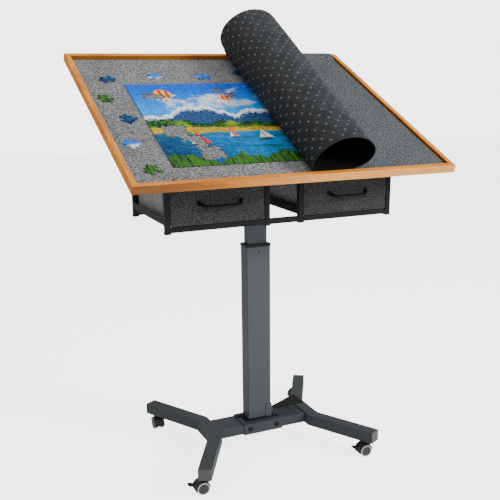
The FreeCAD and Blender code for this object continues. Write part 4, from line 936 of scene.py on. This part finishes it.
def pulled_in(outline, amount):
    """The outline moved inwards; it runs anticlockwise."""
    moved = []
    for before, point, after in zip([outline[-1]] + outline[:-1], outline, outline[1:] + outline[:1]):
        ahead = (after - before).normalized()
        moved.append(point + Vector((-ahead.y, ahead.x)) * amount)
    return moved


def add_card(form, outline, to_print, rise=0.0, slack=0.40 * MM):
    """One piece of card with a pressed-down edge; the outline is in the board's frame."""
    levels = ((slack, FELT_Z + 0.1 * MM), (slack, CARD_TOP - 0.55 * MM),
              (slack + 0.1 * MM, CARD_TOP - 0.22 * MM), (slack + 0.6 * MM, CARD_TOP))
    rows = [[BOARD @ Vector((point.x, point.y, level + rise)) for point in pulled_in(outline, inset)]
            for inset, level in levels]
    uvs = [[to_print(point) for point in outline]] * len(rows)
    form.sheet(rows[:2], 1, loop=True, uvs=uvs[:2])
    form.sheet(rows[1:], 0, loop=True, uvs=uvs[1:])
    form.add(rows[-1], [tuple(range(len(outline)))], 0, uvs[-1])
    form.add(rows[0], [tuple(reversed(range(len(outline))))], 1, uvs[0])


def print_place(point):
    """Where a point of the board lies on the print, in print heights from its front left corner."""
    return ((point.x - PUZZLE_LEFT) / PUZZLE_DEEP, (point.y - PUZZLE_FRONT) / PUZZLE_DEEP)


def make_puzzle():
    """Interlocking pieces, with the empty places left open."""
    chance = random.Random(7)
    form = Form()
    cell = Vector((PUZZLE_WIDE / COLUMNS, PUZZLE_DEEP / ROWS))
    corners = {}
    for i in range(COLUMNS + 1):
        for j in range(ROWS + 1):
            inner = 0 < i < COLUMNS and 0 < j < ROWS
            shift = Vector((chance.uniform(-1, 1), chance.uniform(-1, 1))) * (1.1 * MM if inner else 0.0)
            corners[i, j] = Vector((PUZZLE_LEFT + i * cell.x, PUZZLE_FRONT + j * cell.y)) + shift
    level, steep = {}, {}
    for i in range(COLUMNS + 1):
        for j in range(ROWS + 1):
            radius = chance.uniform(3.5, 4.1) * MM
            reach = chance.uniform(4.2, 5.0) * MM
            if i < COLUMNS:
                side = chance.choice((-1, 1)) if 0 < j < ROWS else 0
                level[i, j] = knobbed(corners[i, j], corners[i + 1, j], side, radius, reach)
            if j < ROWS:
                side = chance.choice((-1, 1)) if 0 < i < COLUMNS else 0
                steep[i, j] = knobbed(corners[i, j], corners[i, j + 1], side, radius, reach)
    for i in range(COLUMNS):
        for j in range(ROWS):
            rise = chance.uniform(-0.05, 0.06) * MM
            if (i, j) in MISSING:
                continue
            back = [corners[i + 1, j + 1]] + level[i, j + 1][:0:-1]
            left = [corners[i, j + 1]] + steep[i, j][:0:-1]
            add_card(form, level[i, j] + steep[i + 1, j] + back + left, print_place, rise)
    make("jigsaw_pieces", form, "tabletop", [PRINT, CARD_CORE], ["jigsaw_puzzle"], 25)


def make_loose_pieces():
    """Loose pieces beside the puzzle, each with its own cut and turn."""
    form = Form()
    radius, reach = LOOSE_KNOB
    half = LOOSE_SIZE / 2
    for x, run, turn, knobs, spot in LOOSE:
        place = Matrix.Rotation(math.radians(turn), 2)
        middle = Vector((x, run)) * MM
        square = [Vector((sx * half, sy * half)) for sx, sy in ((1, -1), (1, 1), (-1, 1), (-1, -1))]
        outline = []
        for k, knob in enumerate(knobs):
            outline += knobbed(square[k], square[(k + 1) % 4], -knob, radius, reach)
        outline = [middle + place @ point for point in outline]

        def to_print(point, middle=middle, spot=spot):
            return (spot[0] + (point.x - middle.x) / PUZZLE_DEEP,
                    spot[1] + (point.y - middle.y) / PUZZLE_DEEP)

        add_card(form, outline, to_print, slack=0.0)
    make("loose_jigsaw_pieces", form, "tabletop", [PRINT, CARD_CORE], ["loose_pieces"], 25)


# ---- drawers ----

DRAWER_MID = 188.3 * MM
DRAWER_Y = BASE_Y - 184 * MM
BIN_WALL = 4 * MM
HANDLE_X = 4 * MM
HANDLE_Z = 793 * MM
HANDLE_LEAN = math.radians(24)
# The bow's middle line across and out of the front, and the profile of its feet, in millimetres.
BOW = ((-58, -1), (-55, -9), (-43, -22.5), (43, -22.5), (55, -9), (58, -1))
BOW_BEND = 6
BOW_WIDE = 4.5 * MM
BOW_THICK = 4.0 * MM
HANDLE_FOOT = ((6.6, 0), (6.6, 1.4), (6.0, 2.6), (4.6, 3.4), (3.4, 3.6))
STITCH_PITCH = 7 * MM
STITCH_HALF = 2.1 * MM
# A thread loop: places along it in shares of its half length, and its thickness there in millimetres.
STITCH = ((-1.0, 0.1), (-0.6, 0.34), (0.0, 0.42), (0.6, 0.34), (1.0, 0.1))


def long_outline(half_x, half_y, radius, spacing):
    """A rounded rectangle whose straight sides are divided as well."""
    corners = rounded_outline(half_x, half_y, radius, 4)
    points = []
    for index, corner in enumerate(corners):
        after = corners[(index + 1) % len(corners)]
        gap = math.dist(corner, after)
        count = max(int(gap / spacing), 1)
        points += [(mix(corner[0], after[0], k / count), mix(corner[1], after[1], k / count))
                   for k in range(count)]
    return points


def add_stitches(form, path, out, finish):
    """A row of short thread loops round a closed path, a little proud of the cloth."""
    spots = []
    left_over = 0.0
    for start, end in zip(path, path[1:] + path[:1]):
        start, end = Vector(start), Vector(end)
        length = (end - start).length
        position = left_over
        while position < length:
            spots.append((start.lerp(end, position / length), (end - start).normalized()))
            position += STITCH_PITCH
        left_over = position - length
    for spot, ahead in spots:
        away = out(spot)
        side = ahead.cross(away).normalized()
        rows = []
        for share, thick in STITCH:
            lift = 0.25 * (1 - share * share) - 0.05
            middle = spot + ahead * (share * STITCH_HALF) + away * (lift * MM)
            rows.append([middle + (side * a + away * b) * thick * MM for a, b in circle(1.0, 6)])
        form.sheet(rows, finish, loop=True)


def make_bin(name, side):
    """The sewn felt box of a drawer with its bound rim, corner seams and stitches."""
    low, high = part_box("drawer_bin_" + name)
    middle = Vector(((low.x + high.x) / 2, (low.y + high.y) / 2, 0))
    half_x, half_y = (high.x - low.x) / 2, (high.y - low.y) / 2
    height = high.z - low.z

    def ring(inset, level, swell):
        points = []
        arch = math.sin(math.pi * (level - low.z) / height)
        for x, y in long_outline(half_x - inset, half_y - inset, max(7 * MM - inset, 2 * MM), 14 * MM):
            across, along = x / half_x, y / half_y
            soft = swell * (1 - min(abs(across), abs(along)) ** 2) * arch
            ripple = 0.35 * MM * noise.noise(Vector((x * 30, y * 30, level * 22 + side)))
            push = Vector((0, 0, 0))
            if abs(across) > abs(along):
                push.x = math.copysign(soft + ripple, x)
            else:
                push.y = math.copysign(soft + ripple, y)
            points.append(middle + Vector((x, y, level)) + push)
        return points

    form = Form()
    levels = [low.z + height * k / 9 for k in range(1, 9)]
    outer = [ring(3 * MM, low.z, 0), ring(1 * MM, low.z + 0.8 * MM, 0), ring(0.2 * MM, low.z + 3 * MM, 0)]
    outer += [ring(0.2 * MM, level, 0.9 * MM) for level in levels]
    rim = [ring(inset * MM, high.z - drop * MM, 0)
           for inset, drop in ((0.2, 1.4), (1.0, 0.3), (2.0, 0.0), (3.2, 0.5))]
    rim.append(ring(BIN_WALL, high.z - 2 * MM, 0))
    inner = [ring(BIN_WALL, level, 0.9 * MM) for level in reversed(levels[1:])]
    inner += [ring(BIN_WALL, low.z + 4.5 * MM, 0), ring(BIN_WALL + 1.5 * MM, low.z + 3 * MM, 0)]
    form.sheet(outer + rim + inner, 0, loop=True)
    form.caps([outer[0], inner[-1]])
    cloth = make("drawer_bin_felt_" + name, form, "drawer_" + name, [BIN_FELT], ["drawer_bin_" + name])

    trim = Form()
    band = [(point.x, point.y) for point in ring(-0.35 * MM, high.z, 0)]
    tape = [(0.0, 0.0), (0.9 * MM, 0.5 * MM), (0.9 * MM, 11.5 * MM), (0.0, 12 * MM), (-0.5 * MM, 6 * MM)]
    trim.swept([(x, y, high.z - 12.5 * MM) for x, y in band], tape, 0, closed=True)
    add_stitches(trim, [(x, y, high.z - 10.5 * MM) for x, y in band],
                 lambda spot: outward(spot, middle, half_x, half_y), 1)
    for sx in (-1, 1):
        for sy in (-1, 1):
            corner = middle + Vector((sx * (half_x - 1.6 * MM), sy * (half_y - 1.6 * MM), 0))
            path = [corner + Vector((0, 0, mix(low.z + 3 * MM, high.z - 13 * MM, k / 6))) for k in range(7)]
            trim.swept(path, circle(1.1 * MM), 0, upright=(1, 0, 0))
    edge = make("drawer_bin_seams_" + name, trim, "drawer_" + name, [FELT_TAPE, THREAD], crease=50)


def outward(spot, middle, half_x, half_y):
    """The direction out of the nearest side of a drawer box."""
    offset = spot - middle
    if abs(offset.x) / half_x > abs(offset.y) / half_y:
        return Vector((math.copysign(1, offset.x), 0, 0))
    return Vector((0, math.copysign(1, offset.y), 0))


def make_front(name):
    """The stiff felt front: a padded panel with a bound edge and a stitched margin."""
    low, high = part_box("drawer_front_" + name)
    middle = (low + high) / 2
    half_x, half_z = (high.x - low.x) / 2, (high.z - low.z) / 2
    form = Form()
    across, rise = 44, 16
    rows = []
    for i in range(rise + 1):
        row = []
        for j in range(across + 1):
            a, b = mix(-1, 1, j / across), mix(-1, 1, i / rise)
            x, z = a * (half_x - 1.2 * MM), b * (half_z - 1.2 * MM)
            edge = min(half_x - abs(x), half_z - abs(z))
            ripple = 0.25 * MM * noise.noise(Vector((x * 24, z * 24, 5)))
            full = smooth_step(0, 12 * MM, edge) * 0.9 * MM + ripple
            row.append(Vector((middle.x + x, low.y + 1.1 * MM - full, middle.z + z)))
        rows.append(row)
    form.sheet(rows, 0)
    rim = rows[0][:-1] + [row[-1] for row in rows[:-1]] + rows[-1][:0:-1] + [row[0] for row in rows[:0:-1]]
    back = [Vector((point.x, high.y - 0.3 * MM, point.z)) for point in rim]
    form.sheet([rim, back], 0, loop=True, flip=True)
    form.add(back, [tuple(range(len(back)))], 0)
    panel = make("drawer_front_felt_" + name, form, "drawer_" + name, [FINISHES["drawer_felt"]],
                 ["drawer_front_" + name])
    trim = Form()
    corners = rounded_outline(half_x - 0.9 * MM, half_z - 0.4 * MM, 1.2 * MM, 3)
    for depth in (low.y + 1.4 * MM, high.y - 1.4 * MM):
        trim.swept([(middle.x + x, depth, middle.z + z) for x, z in corners], circle(1.25 * MM), 0,
                   upright=(0, 1, 0), closed=True)
    inner = rounded_outline(half_x - 6 * MM, half_z - 6 * MM, 3 * MM, 3)
    add_stitches(trim, [(middle.x + x, low.y + 0.35 * MM, middle.z + z) for x, z in inner],
                 lambda spot: Vector((0, -1, 0)), 1)
    edge = make("drawer_front_binding_" + name, trim, "drawer_" + name, [FELT_TAPE, THREAD], crease=50)


def make_insert(name):
    """The felt-covered stiffener that lies in a drawer."""
    low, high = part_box("drawer_insert_" + name)
    form = Form()
    form.block(low, high, 0.8 * MM)
    piece = make("drawer_bottom_board_" + name, form, "drawer_" + name, [BIN_FELT], ["drawer_insert_" + name])


def make_handle(name, side):
    """A bow handle that leans down from two oval feet."""
    form = Form()
    middle = Matrix.Translation((side * DRAWER_MID + HANDLE_X, DRAWER_Y, HANDLE_Z))
    lean = middle @ Matrix.Rotation(HANDLE_LEAN, 4, "X")
    path = [lean @ (point * MM) for point in bent_path([(x, y, 0) for x, y in BOW], BOW_BEND)]
    section = [(BOW_WIDE * math.copysign(abs(a) ** 0.7, a), BOW_THICK * math.copysign(abs(b) ** 0.7, b))
               for a, b in circle(1.0, 16)]
    form.swept(path, section, 0, upright=lean.to_3x3() @ Vector((0, 0, 1)))
    facing = Matrix.Rotation(math.pi / 2, 4, "X") @ Matrix.Diagonal((1.0, 0.95, 1.0, 1.0))
    profile = [(radius * MM, height * MM) for radius, height in HANDLE_FOOT]
    for x, _ in (BOW[0], BOW[-1]):
        form.turned(profile, middle @ Matrix.Translation((x * MM, 0, 0)) @ facing, 32)
    piece = make("bow_handle_" + name, form, "drawer_" + name, [FINISHES["handle_black"]],
                 ["drawer_handle_" + name])


# ---- casters and small hardware ----

WHEEL_RADIUS = 18 * MM
WHEEL_INNER = 5.8 * MM
WHEEL_OUTER = 16.3 * MM
WHEEL_SIDES = 56
AXLE_RADIUS = 2.6 * MM
# Profiles in shares of the wheel's radius and width.
TYRE_PROFILE = ((0.800, 0.00), (0.935, 0.00), (0.975, 0.05), (0.996, 0.14), (1.000, 0.30), (1.000, 0.70),
                (0.996, 0.86), (0.980, 0.95), (0.950, 1.00), (0.88, 1.00), (0.850, 0.95), (0.840, 0.84))
HUB_PROFILE = ((0.840, 0.84), (0.82, 0.80), (0.74, 0.86), (0.50, 0.93), (0.34, 0.94), (0.31, 0.88),
               (0.22, 0.88), (0.19, 0.97), (0.12, 1.00), (0.02, 1.01))
CORNERS = ("front_left", "front_right", "back_left", "back_right")


def make_wheels(corner):
    """Twin wheels on their axle: soft grey tyres round dark hub discs."""
    low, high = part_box("caster_wheels_" + corner)
    rolls_along_x = high.x - low.x > high.y - low.y
    across = Matrix.Rotation(math.pi / 2, 4, "X" if rolls_along_x else "Y")
    axle = Matrix.Translation((low + high) / 2) @ across
    width = WHEEL_OUTER - WHEEL_INNER
    around = tuple(range(WHEEL_SIDES))
    form = Form()
    for end in (-1, 1):
        place = axle @ Matrix.Diagonal((1, 1, end, 1))
        for finish, profile in enumerate((TYRE_PROFILE, HUB_PROFILE)):
            rows = [hoop(place, radius * WHEEL_RADIUS, WHEEL_INNER + height * width, WHEEL_SIDES)
                    for radius, height in profile]
            form.sheet(rows, finish, loop=True, flip=end < 0)
        back = hoop(place, 0.8 * WHEEL_RADIUS, WHEEL_INNER, WHEEL_SIDES)
        form.add(back, [around if end < 0 else around[::-1]], 1)
    form.turned([(AXLE_RADIUS, -WHEEL_INNER), (AXLE_RADIUS, WHEEL_INNER)], axle, 20, 1)
    piece = make("twin_wheels_" + corner, form, "wheels_" + corner, [TYRE, FINISHES["wheel_dark"]],
                 ["caster_wheels_" + corner])


BOLT_RADIUS = 6 * MM
BOLT_HEIGHT = 3.5 * MM
# Rings of a button head: shares of radius and height, and the sides of the socket (0 is a round ring).
HEAD_RINGS = ((0.97, 0.0, 0), (1.0, 0.08, 0), (0.98, 0.3, 0), (0.9, 0.6, 0), (0.74, 0.86, 0),
              (0.56, 0.99, 0), (0.5, 1.0, 0), (0.42, 0.97, 6), (0.40, 0.45, 6))
HEAD_STEPS = 24
WASHER = ((7.6, 0), (7.6, 0.7), (7.3, 0.9), (5, 0.9))
# How far each bolt turns about x to face front, back or up, and its place in millimetres.
FRONT, BACK, UP = math.pi / 2, -math.pi / 2, 0.0
BOLTS = ((FRONT, -44, -44, 63), (FRONT, 44, -44, 63), (BACK, -44, 44, 63), (BACK, 44, 44, 63),
         (UP, -56, 22, 80), (UP, 56, -22, 80))


def add_bolt_head(form, place):
    """A button head with a hexagon socket, standing on z = 0 of its place."""
    rows = []
    for wide, level, sides in HEAD_RINGS:
        row = []
        for k in range(HEAD_STEPS):
            angle = 2 * math.pi * k / HEAD_STEPS
            reach = wide * BOLT_RADIUS
            if sides:
                sector = math.pi / sides
                reach *= math.cos(sector) / math.cos(angle % (2 * sector) - sector)
            spot = Vector((reach * math.cos(angle), reach * math.sin(angle), level * BOLT_HEIGHT))
            row.append(place @ spot)
        rows.append(row)
    form.sheet(rows, loop=True)
    form.add(rows[-1], [tuple(range(HEAD_STEPS))])


def make_bolts():
    """The sleeve's button-head bolts on their washers."""
    form = Form()
    washer = [(radius * MM, height * MM) for radius, height in WASHER]
    for facing, x, y, z in BOLTS:
        spot = Matrix.Translation((x * MM, y * MM + BASE_Y, z * MM))
        place = spot @ Matrix.Rotation(facing, 4, "X")
        add_bolt_head(form, place)
        form.turned(washer, place, 32)
    piece = make("button_bolts", form, "base", [BLACK_OXIDE], ["base_bolts"])


WELD_X = 145 * MM
STUB_HALF_WIDTH = 41.2 * MM
STUB_HALF_HEIGHT = 14.2 * MM
STUB_Z = 63 * MM
BEAD_RADIUS = 1.5 * MM


def make_welds():
    """The beads between the feet's arms and their stubs."""
    form = Form()
    outline = rounded_outline(STUB_HALF_WIDTH, STUB_HALF_HEIGHT, BEAD_RADIUS, 3)
    for side in (-1, 1):
        form.swept([(side * WELD_X, BASE_Y + y, STUB_Z + z) for y, z in outline], circle(BEAD_RADIUS),
                   upright=(1, 0, 0), closed=True)
    make("foot_weld_beads", form, "base", [FINISHES["frame_steel"]], crease=60)


# The screw's profile in millimetres, its shift from the middle and its drop from the column's top.
SCREW = ((3.2, -0.5), (3.2, 0.25), (2.8, 0.4), (1.3, 0.3), (1.2, -0.3))
SCREW_X = 1 * MM
SCREW_DROP = 15 * MM


def make_set_screw():
    """The small sunk screw that keeps the collar on the column."""
    low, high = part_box("outer_column")
    form = Form()
    spot = Matrix.Translation((SCREW_X, low.y, high.z - SCREW_DROP))
    form.turned([(radius * MM, height * MM) for radius, height in SCREW],
                spot @ Matrix.Rotation(math.pi / 2, 4, "X"), 24)
    make("collar_set_screw", form, "base", [FINISHES["black_plastic"]])


# The posts' places in their unit and the low and high corner of a plug.
POST_X = (-138 * MM, 138 * MM)
POST_Y = (-178 * MM, 111 * MM)
PLUG_LOW = Vector((-8.5, -8.5, 718)) * MM
PLUG_HIGH = Vector((8.5, 8.5, 724.5)) * MM


def make_post_feet():
    """Bulging plastic plugs under the posts of the drawer units."""
    form = Form()
    for side in (-1, 1):
        for x in POST_X:
            for y in POST_Y:
                centre = Vector((side * DRAWER_MID + x, BASE_Y + y, 0))
                form.block(centre + PLUG_LOW, centre + PLUG_HIGH, 2.4 * MM, steps=4)
    piece = make("post_plugs", form, "lift", [FINISHES["black_plastic"]], ["post_feet"])


def soften(name, width):
    """Round the edges of a solid that keeps its own mesh."""
    node = bpy.data.objects[name]
    weld = node.modifiers.new("joined", "WELD")
    weld.merge_threshold = TOUCHING
    bevel = node.modifiers.new("eased", "BEVEL")
    bevel.width = width
    bevel.segments = 2
    bevel.limit_method = "ANGLE"
    bevel.angle_limit = math.radians(38)
    bevel.use_clamp_overlap = True
    shade = node.modifiers.new("shaded", "WEIGHTED_NORMAL")
    shade.weight = 60
    shade.keep_sharp = False


make_mat()
make_board_felt()
make_puzzle()
make_loose_pieces()
for drawer, side in (("left", -1), ("right", 1)):
    make_bin(drawer, side)
    make_front(drawer)
    make_insert(drawer)
    make_handle(drawer, side)
for corner in CORNERS:
    make_wheels(corner)
make_bolts()
make_welds()
make_set_screw()
make_post_feet()

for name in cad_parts:
    for slot in bpy.data.objects[name].material_slots:
        slot.material = FINISHES.get(slot.material.name, slot.material)
OWN_FINISH = {
    "left_rail": SIDE_WOOD,
    "right_rail": SIDE_WOOD,
    "left_foot": BASE_STEEL,
    "right_foot": BASE_STEEL,
    "base_sleeve": BASE_STEEL,
    "foot_end_caps": PLUG,
    "column_base_plate": FINISHES["frame_steel"],
    "pedal_bracket": FINISHES["column_steel"],
    "inner_column": INNER_STEEL,
}
for name, finish in OWN_FINISH.items():
    for slot in bpy.data.objects[name].material_slots:
        slot.material = finish
# Width of the eased edges in millimetres, and the nodes that have it.
EASED = {
    0.5: ["drawer_runners", "tilt_quadrants", "hinge_brackets"],
    0.6: ["clamp_cheeks"] + ["caster_hood_" + corner for corner in CORNERS],
    0.8: ["pedal_bracket", "board_panel", "column_base_plate", "rest_posts", "rest_pads",
          "brake_lever_front_left", "brake_lever_front_right"],
    0.9: ["front_rail", "back_rail", "left_rail", "right_rail"],
    1.0: ["foot_end_caps", "inner_column", "unit_posts", "unit_cross_rails", "unit_side_rails",
          "board_bearers"],
    1.2: ["outer_column", "column_collar", "head_beam", "tilt_knob"],
    1.5: ["height_pedal"],
    1.6: ["left_foot", "right_foot"],
}
for width, names in EASED.items():
    for name in names:
        soften(name, width * MM)


# ---- floor, light and camera ----

FLOOR_HALF = 9.0
FLOOR_GLOW = 3.2
STUDIO_STRENGTH = 4.15
STUDIO_LIGHT = (0.13, 0.13, 0.13)
BLACK = (0.0, 0.0, 0.0)
WHITE = (1.0, 1.0, 1.0)
CAMERA_SPOT = (-0.9129, -2.0214 + BASE_Y, 1.1115)
CAMERA_TURN = math.radians(24.39)
CAMERA_PITCH = math.radians(16.43)
CAMERA_ROLL = math.radians(-0.40)


def lit_and_seen(tree, lit):
    """One colour that lights the table, and white for the camera."""
    node = tree.nodes.new("ShaderNodeLightPath")
    return Field(node.outputs["Is Camera Ray"]).blend(lit, WHITE)


def add_stage():
    """A pale floor and a plain studio around it."""
    corners = [(x * FLOOR_HALF, y * FLOOR_HALF, 0) for x, y in ((-1, -1), (1, -1), (1, 1), (-1, 1))]
    mesh = bpy.data.meshes.new("floor")
    mesh.from_pydata(corners, [], [(0, 1, 2, 3)])
    floor = bpy.data.objects.new("floor", mesh)
    bpy.context.scene.collection.objects.link(floor)
    finish = Finish("floor_paint", roughness=0.9, Specular_IOR_Level=0.1, Emission_Strength=FLOOR_GLOW)
    finish.set("Base Color", (0.92, 0.92, 0.92))
    finish.set("Emission Color", lit_and_seen(finish.tree, BLACK))
    mesh.materials.append(finish.material)

    world = bpy.data.worlds.new("studio")
    world.use_nodes = True
    background = world.node_tree.nodes["Background"]
    background.inputs["Strength"].default_value = STUDIO_STRENGTH
    feed(background.inputs["Color"], lit_and_seen(world.node_tree, STUDIO_LIGHT))
    bpy.context.scene.world = world


def add_light(name, spot, aim, size, power, tint=(1.0, 1.0, 1.0)):
    data = bpy.data.lights.new(name, "AREA")
    data.shape = "RECTANGLE"
    data.size, data.size_y = size
    data.energy = power
    data.color = tint
    lamp = bpy.data.objects.new(name, data)
    lamp.location = spot
    lamp.rotation_euler = (Vector(aim) - Vector(spot)).to_track_quat("-Z", "Y").to_euler()
    bpy.context.scene.collection.objects.link(lamp)


def add_camera():
    """The camera that looks down on the table from its front left."""
    turn, pitch, roll = CAMERA_TURN, CAMERA_PITCH, CAMERA_ROLL
    forward = Vector((math.sin(turn) * math.cos(pitch), math.cos(turn) * math.cos(pitch), -math.sin(pitch)))
    level = forward.cross(Vector((0, 0, 1))).normalized()
    upright = level.cross(forward)
    right = level * math.cos(roll) + upright * math.sin(roll)
    up = upright * math.cos(roll) - level * math.sin(roll)
    data = bpy.data.cameras.new("camera")
    data.lens = 55.78
    data.sensor_width = 36.0
    data.shift_x = -0.016
    data.shift_y = 0.1
    camera = bpy.data.objects.new("camera", data)
    rows = [(right[k], up[k], -forward[k], CAMERA_SPOT[k]) for k in range(3)]
    camera.matrix_world = Matrix(rows + [(0, 0, 0, 1)])
    bpy.context.scene.collection.objects.link(camera)
    bpy.context.scene.camera = camera


add_stage()
add_light("key_light", (2.0, -2.0, 1.9), (0.1, 0, 0.7), (1.0, 1.0), 108)
add_light("front_fill", (-0.8, -3.0, 0.6), (-0.1, -0.2, 0.2), (0.9, 0.9), 21)
add_light("left_fill", (-2.4, 0.2, 2.2), (-0.4, 0, 1.0), (1.0, 1.4), 5.5, (1.0, 0.98, 0.95))
add_light("top_light", (-0.3, 0.2, 3.0), (0, 0, 0.9), (1.6, 1.6), 22)
add_camera()
